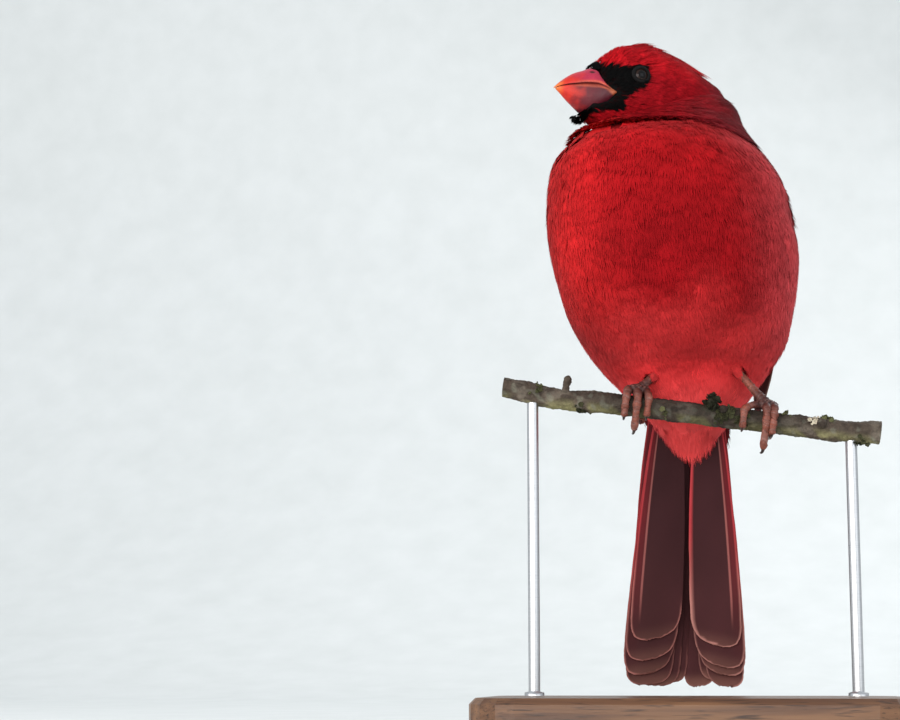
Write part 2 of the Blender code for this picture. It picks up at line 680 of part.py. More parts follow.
def bill_rings(part, grow):
    """Half of the bill as rings: the upper or the lower mandible, swollen by a margin for its socket."""
    rows = np.array(BILL)
    forward = np.concatenate([np.linspace(8.0, 25.4, 9), [26.2]])
    half, culmen, mouth, chin = through(rows, forward).T
    arc = np.linspace(0, np.pi, 9)
    rings = []
    for i, f in enumerate(forward):
        w = half[i] + grow
        if part == "upper":
            edge, peak = mouth[i] + GAP / 2 - grow, culmen[i] + grow
            shape = np.sin(arc) ** 0.85
        else:
            edge, peak = mouth[i] - GAP / 2 + grow, chin[i] - grow
            shape = np.sin(arc) ** 0.7
            w = w * 0.96
        left = w * np.cos(arc)
        up = edge + (peak - edge) * shape
        step = f - (grow if i == 0 else 0)
        inner = np.stack([np.full(3, step), left[-1] * np.array([0.5, 0.0, -0.5]), np.full(3, edge)], axis=1)
        ring = np.concatenate([np.stack([np.full(9, step), left, up], axis=1), inner])
        rings.append(from_head(ring))
    drop = BILL_TIP[1] if part == "upper" else BILL_TIP[1] + 0.9
    end = BILL_TIP[0] + grow if part == "upper" else BILL_TIP[0] - 0.8
    tip = np.array([[end, 0.0, drop]]) + (np.array([[0, 0, 0.35]]) if part == "upper" else np.array([[0, 0, -0.5]]))
    small = from_head(tip) + (rings[-1] - rings[-1].mean(0)) * 0.3
    rings.append(small)
    return rings


def make_bill(group, finish):
    """Upper and lower mandible, parted along the mouth line, with a nostril on each side."""
    upper = loft("bill_upper", bill_rings("upper", 0.0), group, finish)
    lower = loft("bill_lower", bill_rings("lower", 0.0), group, finish)
    for sign in (-1.0, 1.0):
        place = from_head([14.6, sign * 4.9, 0.2])
        cut(upper, ball("nostril", place, 0.85, group, segments=10, rings=6))
    return upper, lower


def crest_vanes(group):
    """Crest feathers laid back over the crown in three rows, longest along the middle."""
    draws = np.random.default_rng(7)
    rows = (
        (3.0, 26.0, (-2.4, 2.4), 12.8, 11.2),
        (-1.0, 23.5, (-4.8, 0.0, 4.8), 12.7, 11.0),
        (-6.0, 17.0, (-6.6, -2.2, 2.2, 6.6), 12.2, 11.2),
    )
    made = []
    for root, length, places, high, end in rows:
        for left in places:
            long = length * (1 - 0.02 * abs(left)) * draws.uniform(0.96, 1.04)
            share, outline = feather_outline(4, 0.6, 0.4)
            forward = root - long * share
            up = high + (end - high) * share + 1.2 * np.sin(share * 2.7) - 0.045 * left**2
            sideways = left * (1 + 0.1 * share - 0.5 * share**2)
            centre = from_head(np.stack([forward, sideways, up], axis=1))
            course = unit(np.gradient(centre, axis=0))
            side = head_frame() @ np.array([0.0, 1.0, -0.06 * left])
            side = unit(side - course * (course @ side)[:, None])
            normal = np.cross(course, side)
            normal *= np.sign(normal @ head_frame()[:, 2])[:, None]
            made.append(vane("crest feather", centre, side, normal, outline * 3.1, 0.6, group))
    return made


def make_head(group, skin, crest_finish, eye_finish):
    """The head with its lids and sockets, the crest on top and the two eyes."""
    up = head_frame()[:, 2]
    head = loft("head", head_rings(), group, skin)
    crest = loft("crest", head_rings(13, 16), group, crest_finish)
    head_top = from_head([0, 0, CREST_PLANE])
    cut(crest, plane_block("below crest", head_top + up * GAP, up, group))
    fuse(crest, crest_vanes(group))
    cut(crest, plane_block("below crest", head_top + up * GAP, up, group))
    fuse(head, [lid(sign, group) for sign in (-1.0, 1.0)])
    cut(head, crest_room(group))
    normal = head_frame() @ unit([NECK_PLANE_RISE, 0.0, 1.0])
    cut(head, plane_block("below neck line", from_head([0, 0, -NECK_PLANE_DROP]), normal, group))
    for part in ("upper", "lower"):
        cut(head, loft("bill room", bill_rings(part, GAP), group))
    for sign, name in ((1.0, "eye_left"), (-1.0, "eye_right")):
        place = from_head([0, sign * EYE_SIDE, 0])
        cut(head, ball("socket", place, EYE_RADIUS + GAP, group, segments=18, rings=10))
        ball(name, place, EYE_RADIUS, group, eye_finish, segments=16, rings=10)
    return head, crest


def crest_room(group):
    """All above the crest's flat underside."""
    up = head_frame()[:, 2]
    return plane_block("above crown", from_head([0, 0, CREST_PLANE]), -up, group)


def lid(sign, group):
    """The bare rim round an eye, as a ring standing on the side of the head."""
    bpy.ops.mesh.primitive_torus_add(
        major_segments=16, minor_segments=5, major_radius=LID_RADIUS * MM, minor_radius=LID_THICKNESS * MM
    )
    ring = adopt(bpy.context.object, "lid", group)
    for vert in ring.data.vertices:
        x, y, z = np.array(vert.co) / MM
        vert.co = from_head([x, sign * (LID_SIDE + z), y * 0.92]) * MM
    made = bmesh.new()
    made.from_mesh(ring.data)
    bmesh.ops.recalc_face_normals(made, faces=made.faces)
    made.to_mesh(ring.data)
    made.free()
    return ring


def make_neck(group, finish):
    """A ruff from the torso's top to the head's slanting underside, between two unlike sections."""
    around, count = 26, 6
    frame = head_frame()
    turns = np.linspace(0, 2 * np.pi, around, endpoint=False)
    slant = unit([-1.0, 0.0, NECK_PLANE_RISE])
    middle = np.array([NECK_MIDDLE, 0.0, -NECK_PLANE_DROP - NECK_MIDDLE * NECK_PLANE_RISE])
    middle = middle - unit([NECK_PLANE_RISE, 0.0, 1.0]) * GAP
    half_long, half_wide = NECK_HALF_SIZE
    top = middle + np.outer(np.cos(turns), slant) * half_long + np.outer(np.sin(turns), [0, -1.0, 0]) * half_wide
    top = HEAD_PLACE + top @ frame.T
    x, y, half_x, half_y = torso_section(PERCH_HEIGHT + 97.0)
    heading = turns + math.radians(90.0) - HEAD_TURN
    bottom = np.stack(
        [
            x + (half_x - 0.8) * np.cos(heading),
            y + (half_y - 0.8) * np.sin(heading),
            np.full(around, PERCH_HEIGHT + 97.0 + GAP),
        ],
        axis=1,
    )
    share = np.linspace(0, 1, count)[:, None, None]
    rings = bottom * (1 - share) + top * share
    out = rings - rings.mean(1, keepdims=True)
    rings = rings + out / np.linalg.norm(out, axis=2, keepdims=True) * NECK_FULLNESS * np.sin(np.pi * share)
    return loft("neck", rings, group, finish)


def covert_row(group, sign, count, width, root, tip, spread):
    """A fan of tail coverts on the tail's underside (-1) or upper side (+1).

    root and tip are distances down the tail and out from it, and spread is how far the outermost
    feather's root and tip lie to the side.
    """
    down, left, upper = tail_frame()
    made = []
    for place in np.linspace(-1, 1, count):
        share, outline = feather_outline(3, 0.7, 0.4)
        along = root[0] + (tip[0] - root[0]) * (1 - 0.16 * place**2) * share
        lifted = (root[1] + (tip[1] - root[1]) * share) * (1 - 0.2 * place**2)
        sideways = place * (spread[0] + (spread[1] - spread[0]) * share)
        centre = TAIL_ROOT + np.outer(along, down) + np.outer(sideways, left) + np.outer(lifted, upper) * sign
        course = unit(np.gradient(centre, axis=0))
        side = unit(left - upper * sign * 0.3 * place)
        side = unit(side - course * (course @ side)[:, None])
        normal = unit(np.cross(course, side))
        normal *= np.sign(normal @ (upper * sign))[:, None]
        made.append(vane("covert", centre, side, normal, outline * width, 0.6, group))
    return made


def make_body(group, finishes):
    """The torso, and the coverts below it that hold the tail between them."""
    down, left, upper = tail_frame()
    bottom = TORSO[-1][0]
    heights = np.concatenate([np.linspace(97.0, 22.0, 14), np.linspace(17.0, bottom, 9)]) + PERCH_HEIGHT
    low_heights = np.linspace(20.0, bottom, 9) + PERCH_HEIGHT
    turns = np.linspace(0, 2 * np.pi, 28, endpoint=False)
    low_turns = np.linspace(0, 2 * np.pi, 20, endpoint=False)
    torso = loft("torso", [torso_point(h, turns) for h in heights], group, finishes["red"])
    low_rings = [torso_point(h, low_turns) for h in low_heights]
    under = loft("undertail_coverts", low_rings, group, finishes["under"])
    over = loft("uppertail_coverts", low_rings, group, finishes["back"])
    room = TAIL_PITCH * 2.5 + 0.5 + GAP
    cut(torso, plane_block("below seam", TAIL_ROOT, -down, group))
    for piece, sign in ((under, -1.0), (over, 1.0)):
        cut(piece, plane_block("above seam", TAIL_ROOT + down * GAP, down, group))
        cut(piece, plane_block("tail room", TAIL_ROOT + upper * sign * room, upper * sign, group))
    for piece in (torso, under):
        cut(piece, straight_tube("perch room", -60.0, 60.0, PERCH_RADIUS + GAP + 0.1, group))
        for x in FOOT_X.values():
            cut(piece, straight_tube("toe room", x - 10.5, x + 6.0, WRAP_RADIUS + TOE_RADIUS + 0.5, group))
    fuse(under, covert_row(group, -1.0, 5, 3.5, (10.9, 21.7), (25.8, 3.8), (8.6, 4.8)))
    fuse(over, covert_row(group, 1.0, 5, 4.6, (8.0, 9.0), (33.0, 4.7), (8.0, 9.0)))
    return torso, under, over


def straight_tube(name, start, end, radius, group):
    """A tube round the perch's middle line between two distances along x."""
    return tube(name, [perch_axis(start), perch_axis(end)], [radius, radius], group, resolution=4)


def make_base(group, finish):
    bpy.ops.mesh.primitive_cube_add(size=1.0, location=(0, 0, BASE_SIZE[2] / 2 * MM))
    base = bpy.context.object
    base.scale = [side * MM for side in BASE_SIZE]
    base = adopt(base, "stand_base", group, finish)
    for name, width, steps, limit in (("corners", 16.0, 4, "WEIGHT"), ("edge", BASE_EDGE, 1, "ANGLE")):
        bevel = base.modifiers.new(name, "BEVEL")
        bevel.width = width * MM
        bevel.segments = steps
        bevel.limit_method = limit
        if limit == "ANGLE":
            bevel.angle_limit = math.radians(60)
    weights = base.data.attributes.new("bevel_weight_edge", "FLOAT", "EDGE")
    for edge in base.data.edges:
        a, b = (base.data.vertices[v].co for v in edge.vertices)
        weights.data[edge.index].value = 1.0 if abs(a.z - b.z) > BASE_SIZE[2] * MM / 2 else 0.0
    return base


def make_rods(group, finish):
    """Two rods from the base up to the perch, hollowed at the top to its round underside."""
    for name, x in zip(("stand_rod_right", "stand_rod_left"), ROD_X):
        foot = BASE_SIZE[2] + GAP
        top = perch_axis(x)[2]
        bpy.ops.mesh.primitive_cylinder_add(
            vertices=12,
            radius=ROD_RADIUS * MM,
            depth=(top - foot) * MM,
            location=(x * MM, 0, (top + foot) / 2 * MM),
        )
        rod = adopt(bpy.context.object, name, group, finish)
        path, radii = perch_path(GAP + 0.05)
        cut(rod, tube("perch room", path, radii, group, resolution=3))


def main():
    clear_scene()
    parts = collection("northern cardinal")
    red = material("red plumage", (0.52, 0.012, 0.012), 0.75)
    back = material("dull red back", (0.22, 0.02, 0.022), 0.8)
    under = material("undertail red", (0.55, 0.035, 0.04), 0.75)
    head_red = material("head plumage", (0.42, 0.012, 0.014), 0.75)
    wing_finish = material("wing feathers", (0.20, 0.03, 0.03), 0.65)
    tail_finish = material("tail feathers", (0.10, 0.03, 0.03), 0.65)
    bill_finish = material("bill", (0.62, 0.06, 0.04), 0.4)
    eye_finish = material("eye", (0.012, 0.008, 0.006), 0.08)
    skin = material("leg scales", (0.19, 0.07, 0.06), 0.6)
    horn = material("claws", (0.05, 0.035, 0.03), 0.4)
    bark = material("bark", (0.13, 0.10, 0.075), 0.9)
    wood = material("stand wood", (0.16, 0.08, 0.04), 0.5)
    steel = material("stand steel", (0.55, 0.55, 0.55), 0.35, 1.0)

    torso, under_coverts, over_coverts = make_body(parts, {"red": red, "under": under, "back": back})
    pads = {"inner": 2, "middle": 3, "outer": 4, "hind": 2}
    for side in ("right", "left"):
        leg, end = make_foot(side, parts, skin, horn, pads)
        tube(f"thigh_{side}", *thigh_line(side, end), parts, red)
        lean = unit(LEG_LEAN[side])
        for piece in (torso, under_coverts):
            cut(piece, tube("thigh room", *thigh_line(side, end, GAP), parts))
            cut(piece, tube("leg room", [end - lean * 16.0, end + lean], [1.9, 1.9], parts))
        make_wing(side, parts, wing_finish)
        for piece in (torso, over_coverts):
            cut(piece, wing_slab("wing room", side, parts, -WING_SINK - GAP, 9.0, 1.04, 1.2, 12))

    make_neck(parts, head_red)
    make_bill(parts, bill_finish)
    make_head(parts, head_red, head_red, eye_finish)
    make_tail(parts, tail_finish)
    make_perch(parts, bark)
    make_base(parts, wood)
    make_rods(parts, steel)


main()
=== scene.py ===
"""The finish of a life-size male northern cardinal that grips a cut length of branch on a stand.

Shapes are worked out in millimetres, as whole arrays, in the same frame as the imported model. Heights
named h are above the perch's middle, and an angle round the body is 0 at the breast and grows towards
the bird's left.
"""

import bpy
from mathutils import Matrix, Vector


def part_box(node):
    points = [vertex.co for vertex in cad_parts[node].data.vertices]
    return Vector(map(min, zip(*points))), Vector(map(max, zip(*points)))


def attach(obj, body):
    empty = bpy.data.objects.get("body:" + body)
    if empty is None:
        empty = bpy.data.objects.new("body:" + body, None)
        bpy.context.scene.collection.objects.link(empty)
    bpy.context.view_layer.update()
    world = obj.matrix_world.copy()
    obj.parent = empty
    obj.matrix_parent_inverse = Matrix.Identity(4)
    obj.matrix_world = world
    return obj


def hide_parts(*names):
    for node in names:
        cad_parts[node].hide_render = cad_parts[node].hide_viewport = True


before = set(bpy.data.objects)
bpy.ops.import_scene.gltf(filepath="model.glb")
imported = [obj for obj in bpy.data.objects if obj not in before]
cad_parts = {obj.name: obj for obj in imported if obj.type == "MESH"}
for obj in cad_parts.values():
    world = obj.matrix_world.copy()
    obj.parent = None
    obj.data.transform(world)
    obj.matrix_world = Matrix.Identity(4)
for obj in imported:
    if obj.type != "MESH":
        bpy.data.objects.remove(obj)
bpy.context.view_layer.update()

import math

import bpy
import numpy as np

MM = 0.001

# Stand and perch, as the solids have them
BASE_TOP = 12.0
ROD_RADIUS = 2.0
PERCH_HEIGHT = 108.0
PERCH_SLOPE = math.radians(7.8)
PERCH_RADIUS = 3.7
PERCH_REACH = 64.0
BIRD_X = 4.0
PERCH_ALONG = np.array([math.cos(PERCH_SLOPE), 0.0, -math.sin(PERCH_SLOPE)])
PERCH_UP = np.array([math.sin(PERCH_SLOPE), 0.0, math.cos(PERCH_SLOPE)])
BACK = np.array([0.0, 1.0, 0.0])

# The room's floor lies a little under the base
FLOOR_DROP = 0.15

# Tail
TAIL_ROOT = np.array([-0.5, 30.5, PERCH_HEIGHT + 12.0])
TAIL_LEAN_BACK = math.radians(10.0)
TAIL_LEAN_SIDE = math.radians(1.6)
TAIL_LENGTHS = {-1.0: (88.6, 96.2, 101.5, 105.5, 106.0, 104.5), 1.0: (90.4, 98.0, 101.0, 105.5, 103.5, 106.0)}
TAIL_TIP_OFFSETS = {-1.0: (11.2, 12.8, 13.8, 13.4, 10.4, 7.3), 1.0: (11.2, 12.6, 13.4, 14.6, 12.0, 5.2)}
TAIL_HALF_WIDTHS = {-1.0: (9.0, 9.2, 9.0, 8.6, 8.4, 8.0), 1.0: (9.0, 9.0, 8.6, 6.9, 7.0, 6.0)}
TAIL_ROOT_OFFSETS = (6.6, 6.8, 7.0, 6.8, 6.6, 6.4)
TAIL_PITCH = 0.8

# Head, in its own frame: forward, left and up from the point midway between the eyes
HEAD_PLACE = np.array([-20.7, -4.0, PERCH_HEIGHT + 116.1])
HEAD_TURN = math.radians(60.0)
HEAD_PITCH = math.radians(4.0)
EYE_RADIUS = 4.2
EYE_OPENING = 2.9
EYE_SIDE = 9.2
LID_SIDE = 12.7
NECK_PLANE_RISE = 0.4255
NECK_PLANE_DROP = 11.8
NECK_MIDDLE = -9.8
NECK_HALF_SIZE = (24.4, 13.5)
NECK_FULLNESS = (0.9, 4.2)

# Feet
WRAP_RADIUS = PERCH_RADIUS + 0.3 + 0.1 + 1.35
FOOT_X = {"right": -18.2, "left": 25.2}
LEG_LEAN = {"right": (0.64, 0.20, 0.62), "left": (-0.58, 0.10, 0.74)}
LEG_BARE = {"right": 8.5, "left": 16.5}
TOE_SPREAD = {"right": ((2.2, 4.0), (-0.9, 0.3), (-3.3, -3.6)), "left": ((-2.4, -7.2), (-0.4, 0.5), (2.4, 2.8))}
TOE_FREE = {"right": 7.0, "left": 8.2}

# Wings
WING_TOP = 89.0
WING_TIP = {"right": 5.0, "left": 3.0}
WING_ANGLE = {"right": (123.0, 152.0), "left": (120.0, 128.0)}
WING_HALF_WIDTH = (
    (0.0, 6.5), (0.06, 11.5), (0.18, 16.0), (0.4, 17.5), (0.55, 16.5), (0.72, 12.0), (0.9, 7.5), (1.02, 3.5)
)

# Torso sections from neck to vent: height, left, right, front, back
TORSO = (
    (97.0, -40.0, 21.0, -28.0, 22.5),
    (92.0, -43.2, 24.0, -34.0, 26.0),
    (86.0, -46.3, 28.6, -38.5, 28.5),
    (78.0, -48.0, 33.2, -41.8, 31.2),
    (67.0, -48.5, 35.6, -44.6, 33.8),
    (54.0, -47.2, 38.0, -45.4, 36.2),
    (42.0, -44.2, 37.3, -43.0, 38.4),
    (35.0, -42.2, 36.3, -38.8, 39.3),
    (29.0, -39.4, 34.8, -31.5, 40.0),
    (22.5, -35.2, 32.6, -18.0, 40.8),
    (17.0, -30.6, 28.8, -5.5, 41.1),
    (13.0, -26.8, 25.6, -1.0, 41.2),
    (9.0, -22.8, 22.6, 1.6, 41.2),
    (3.0, -17.0, 17.6, 5.0, 41.0),
    (-3.0, -12.4, 12.4, 9.0, 40.5),
    (-6.5, -8.6, 8.6, 17.5, 40.0),
    (-9.8, -4.2, 4.2, 27.0, 39.2),
    (-17.0, -2.2, 2.2, 31.5, 38.6),
)

# Where a folded wing hangs clear of the tapering belly: height, left, right, back
WING_HANG = (
    (60.0, -46.8, 37.0, 36.0),
    (42.0, -43.8, 36.4, 38.4),
    (30.0, -39.0, 34.6, 40.2),
    (20.0, -32.6, 32.4, 41.8),
    (10.0, -25.5, 30.2, 43.2),
    (0.0, -22.0, 28.6, 44.6),
    (-12.0, -20.0, 27.0, 46.0),
)

# Head sections from bill to nape: forward, half width, top, bottom
HEAD = (
    (14.2, 5.6, 3.6, -15.0),
    (13.6, 6.9, 5.0, -15.4),
    (12.2, 7.9, 6.6, -16.2),
    (9.5, 9.2, 9.0, -17.0),
    (5.0, 11.4, 12.2, -18.0),
    (0.0, 12.7, 13.6, -19.0),
    (-6.0, 14.0, 14.2, -19.5),
    (-13.0, 14.4, 12.9, -20.0),
    (-20.0, 13.8, 10.7, -20.0),
    (-26.0, 12.6, 8.1, -20.0),
    (-31.0, 11.4, 6.2, -19.5),
    (-35.0, 10.2, 4.2, -18.5),
    (-38.5, 7.0, 0.6, -15.5),
)

# Upper half of the bill, from the gape's corner to the tip: forward, half width, mouth line, culmen, boxiness
BILL_UPPER = (
    (7.9, 9.9, -7.1, -6.6, 0.35),
    (8.6, 9.8, -6.9, -6.0, 0.35),
    (10.0, 9.3, -6.1, -4.6, 0.38),
    (11.5, 8.7, -5.3, -2.9, 0.42),
    (12.6, 8.1, -4.8, -0.6, 0.5),
    (13.4, 7.6, -4.55, 1.7, 0.62),
    (14.4, 7.1, -4.4, 2.2, 0.75),
    (17.5, 5.5, -4.4, 1.15, 0.9),
    (21.0, 3.8, -4.85, -0.5, 1.0),
    (24.0, 2.3, -5.4, -2.9, 1.0),
    (26.0, 1.15, -6.0, -4.8, 1.0),
    (27.2, 0.3, -6.7, -6.2, 1.0),
)

# Lower half: forward, half width, mouth line, chin, boxiness
BILL_LOWER = (
    (7.9, 9.9, -7.1, -7.7, 0.35),
    (8.6, 9.9, -6.9, -8.6, 0.35),
    (9.6, 9.5, -6.3, -10.2, 0.4),
    (11.5, 8.8, -5.3, -11.5, 0.5),
    (13.4, 7.5, -4.55, -12.9, 0.62),
    (15.5, 6.3, -4.4, -13.5, 0.75),
    (17.5, 5.2, -4.4, -12.8, 0.85),
    (21.0, 3.5, -4.85, -10.7, 0.95),
    (24.0, 2.0, -5.4, -8.5, 1.0),
    (25.8, 1.0, -5.95, -7.2, 1.0),
    (26.5, 0.35, -6.3, -6.8, 1.0),
)

# Where the bill comes out of the feathers on the side of the head, forward and up
BILL_EDGE = (
    (22.0, 2.6), (13.6, 2.3), (12.9, -1.8), (11.3, -4.3), (8.3, -6.3), (8.0, -7.3), (9.0, -8.9),
    (9.9, -10.9), (13.2, -11.9), (15.6, -13.3), (18.0, -14.2), (24.0, -14.0),
)

# The black mask's outline on the side of the head, forward and up
MASK = (
    (24.0, 6.0), (13.0, 4.3), (11.0, 3.6), (8.0, 2.7), (4.6, 2.5), (2.6, 3.4), (0.2, 4.0), (-2.4, 3.2),
    (-3.8, 0.8), (-3.4, -2.2), (-1.6, -3.7), (1.5, -5.2), (3.3, -6.8), (4.5, -8.5), (4.9, -10.6),
    (4.9, -12.0), (7.6, -12.9),
    (10.1, -13.2), (12.7, -13.4), (16.6, -15.2), (24.0, -16.0),
)

# Plumage colours, linear
BREAST_RED = (0.33, 0.0050, 0.0075)
# Painted light: red for the breast's side where the light falls
LIT_SIDE_RED = (0.50, 0.0135, 0.0145)
DEEP_RED = (0.235, 0.0037, 0.0060)
# The belly's own pale warm red, painted brighter for light from below
BELLY_RED = (0.60, 0.028, 0.030)
# Painted sheen: the bird's left flank, paler and pinker
FLANK_SHEEN_RED = (0.58, 0.060, 0.068)
# The vent's own pale warm red, painted brighter still for light from below
VENT_RED = (0.88, 0.082, 0.082)
NAPE_RED = (0.105, 0.010, 0.014)
CROWN_RED = (0.38, 0.007, 0.011)
CHEEK_RED = (0.26, 0.005, 0.009)
BACK_RED = (0.15, 0.020, 0.022)
MASK_BLACK = (0.003, 0.003, 0.003)
DOWN_GREY = (0.085, 0.010, 0.012)
WEB_DARK = (0.034, 0.0100, 0.0115)
WEB_RED = (0.100, 0.011, 0.014)
RIM_PALE = (0.40, 0.20, 0.165)
SHAFT_PINK = (0.27, 0.085, 0.075)
FOREHEAD_RED = (0.46, 0.006, 0.010)
CHIN_RED = (0.30, 0.005, 0.009)
COVERT_PURPLE = (0.20, 0.016, 0.036)
TAIL_WORN = (0.056, 0.017, 0.018)
TAIL_TIP_BROWN = (0.15, 0.065, 0.050)
TAIL_EDGE_RED = (0.42, 0.040, 0.046)
TAIL_UPPER_RED = (0.20, 0.020, 0.022)
WING_DARK = (0.060, 0.028, 0.027)
WING_RED = (0.24, 0.020, 0.022)
WING_EDGE_RED = (0.30, 0.018, 0.021)
WING_EDGE_PALE = (0.34, 0.24, 0.19)
WING_TIP_WORN = (0.20, 0.09, 0.08)
WING_SHAFT = (0.05, 0.018, 0.016)
SHOULDER_RED = (0.26, 0.018, 0.020)

# Colours of bill, eyes and feet, linear
BILL_CORAL = (0.34, 0.019, 0.048)
BILL_MAROON = (0.10, 0.007, 0.013)
BILL_SCARLET = (0.50, 0.022, 0.012)
BILL_ORANGE = (0.68, 0.17, 0.035)
BILL_SHADE = (0.050, 0.006, 0.012)
MOUTH_PALE = (0.62, 0.12, 0.045)
MOUTH_DARK = (0.10, 0.008, 0.010)
CULMEN_PINK = (0.50, 0.06, 0.09)
NOSTRIL_DARK = (0.04, 0.008, 0.008)
GAPE_BROWN = (0.30, 0.075, 0.030)
IRIS_BROWN = (0.020, 0.010, 0.007)
EYE_EDGE = (0.005, 0.004, 0.004)
LID_BLACK = (0.004, 0.0036, 0.0034)
LEG_BROWN = (0.190, 0.050, 0.030)
TOE_DARK = (0.042, 0.013, 0.011)
SCUTE_PALE = (0.24, 0.125, 0.105)
CLAW_BLACK = (0.030, 0.020, 0.017)

# Colours of perch, stand and room, linear
BARK_BROWN = (0.088, 0.066, 0.049)
BARK_TAN = (0.150, 0.122, 0.094)
BARK_FURROW = (0.045, 0.032, 0.024)
BARK_GREEN = (0.20, 0.185, 0.085)
BARK_PALE = (0.17, 0.165, 0.125)
BARK_DARK_SPOT = (0.020, 0.021, 0.012)
CUT_WOOD = (0.42, 0.29, 0.17)
BASE_DARK = (0.085, 0.036, 0.016)
BASE_LIGHT = (0.20, 0.095, 0.042)
BASE_PORE = (0.04, 0.018, 0.009)
STEEL_DARK = (0.42, 0.42, 0.43)
STEEL_LIGHT = (0.66, 0.66, 0.66)
PAPER_DARK = (0.70, 0.71, 0.69)
PAPER_LIGHT = (0.80, 0.805, 0.79)
LICHEN = ((0.040, 0.040, 0.019), (0.075, 0.076, 0.034), (0.34, 0.30, 0.23), (0.016, 0.017, 0.009))

# Lichen on the branch: place along it, degrees from its top to the front, spread, how many cups, colour
LICHEN_SPOTS = (
    (6.8, 8.0, 2.6, 60, 3), (7.4, 38.0, 2.4, 44, 3), (12.5, 62.0, 2.8, 34, 0),
    (10.5, 95.0, 2.6, 22, 0), (17.0, 100.0, 2.4, 12, 0), (-37.0, 170.0, 3.4, 22, 0),
    (46.0, 10.0, 3.6, 16, 1), (41.5, 60.0, 2.6, 10, 2), (-52.0, 60.0, 2.6, 10, 1),
    (57.0, 150.0, 3.0, 12, 0), (-9.0, 120.0, 2.0, 7, 1), (32.5, 20.0, 2.0, 7, 1),
)


# Arrays
def stack(*parts):
    """Arrays brought to one shape and set side by side along a new last axis."""
    return np.stack(np.broadcast_arrays(*parts), -1)


def full_turn(count):
    """Angles once round, without the last one that would repeat the first."""
    return np.linspace(0, 2 * np.pi, count, endpoint=False)


def wrapped(angle):
    """The same angle between -pi and pi."""
    return (angle + np.pi) % (2 * np.pi) - np.pi


def unit(vector):
    vector = np.asarray(vector, float)
    return vector / np.maximum(np.linalg.norm(vector, axis=-1, keepdims=True), 1e-12)


def dot(a, b):
    return np.sum(a * b, axis=-1, keepdims=True)


def ramp(low, high, value):
    """0 at low, 1 at high, and smooth between them: 3t^2 - 2t^3."""
    t = np.clip((np.asarray(value, float) - low) / (high - low), 0, 1)
    return t * t * (3 - 2 * t)


def mix(a, b, share):
    """Colours or numbers between a and b."""
    share = np.asarray(share, float)
    a, b = np.asarray(a, float), np.asarray(b, float)
    return a + (b - a) * (share[..., None] if a.ndim and a.shape[-1] == 3 else share)


def through(rows, at):
    """A smooth curve through table rows: cubic pieces whose slopes come from the neighbouring rows."""
    rows = np.asarray(rows, float)
    if rows[0, 0] > rows[-1, 0]:
        rows = rows[::-1]
    key, value = rows[:, 0], rows[:, 1:]
    at = np.clip(np.asarray(at, float), key[0], key[-1])
    slope = np.gradient(value, key, axis=0)
    i = np.clip(np.searchsorted(key, at) - 1, 0, len(key) - 2)
    span = (key[i + 1] - key[i])[..., None]
    t = ((at - key[i]) / (key[i + 1] - key[i]))[..., None]
    first = value[i] * (1 + 2 * t) * (1 - t) ** 2 + slope[i] * span * t * (1 - t) ** 2
    second = value[i + 1] * t * t * (3 - 2 * t) - slope[i + 1] * span * t * t * (1 - t)
    return first + second


def blotches(points, size, seed, waves=14):
    """Soft random blotches from -1 to 1: the sum of sine waves in random directions, size mm apart."""
    draws = np.random.default_rng(seed)
    heading = unit(draws.normal(size=(waves, 3))) * draws.uniform(0.6, 1.7, (waves, 1)) * 2 * np.pi / size
    phase = draws.uniform(0, 2 * np.pi, waves)
    total = np.zeros(points.shape[:-1])
    for k in range(waves):
        total += np.sin(points @ heading[k] + phase[k])
    return np.clip(total / math.sqrt(waves) * 0.8, -1, 1)


# The bird's surfaces
def torso(h, angle):
    """The torso: at each height an ellipse whose four reaches come from the table."""
    left, right, front, back = np.moveaxis(through(TORSO, h), -1, 0)
    x = (left + right) / 2 + (right - left) / 2 * np.sin(angle)
    y = (front + back) / 2 - (back - front) / 2 * np.cos(angle)
    return stack(x, y, PERCH_HEIGHT + h)


def head_frame():
    """Columns: the head's forward, left and up directions in the bird's frame."""
    flat = np.array([-math.sin(HEAD_TURN), -math.cos(HEAD_TURN), 0.0])
    left = np.array([math.cos(HEAD_TURN), -math.sin(HEAD_TURN), 0.0])
    level = np.array([0.0, 0.0, 1.0])
    forward = flat * math.cos(HEAD_PITCH) + level * math.sin(HEAD_PITCH)
    up = level * math.cos(HEAD_PITCH) - flat * math.sin(HEAD_PITCH)
    return np.stack([forward, left, up], axis=1)


HEAD_AXES = head_frame()


def from_head(points):
    return HEAD_PLACE + np.asarray(points, float) @ HEAD_AXES.T


def to_head(points):
    return (np.asarray(points, float) - HEAD_PLACE) @ HEAD_AXES


def head(f, angle):
    """The head: sections across its forward axis, flattened at the sides and leaning forward at the chin."""
    half, top, bottom = np.moveaxis(through(HEAD, f), -1, 0)
    up = (top + bottom) / 2 + (top - bottom) / 2 * np.cos(angle)
    left = -half * np.sign(np.sin(angle)) * np.abs(np.sin(angle)) ** 0.92
    slant = np.where(up < 0, 0.33 * np.minimum(-up, 12.5), -0.14 * up)
    lean = np.clip((f - 4.0) / 9.6, 0, 1) * slant
    return from_head(stack(f + lean, left, up))


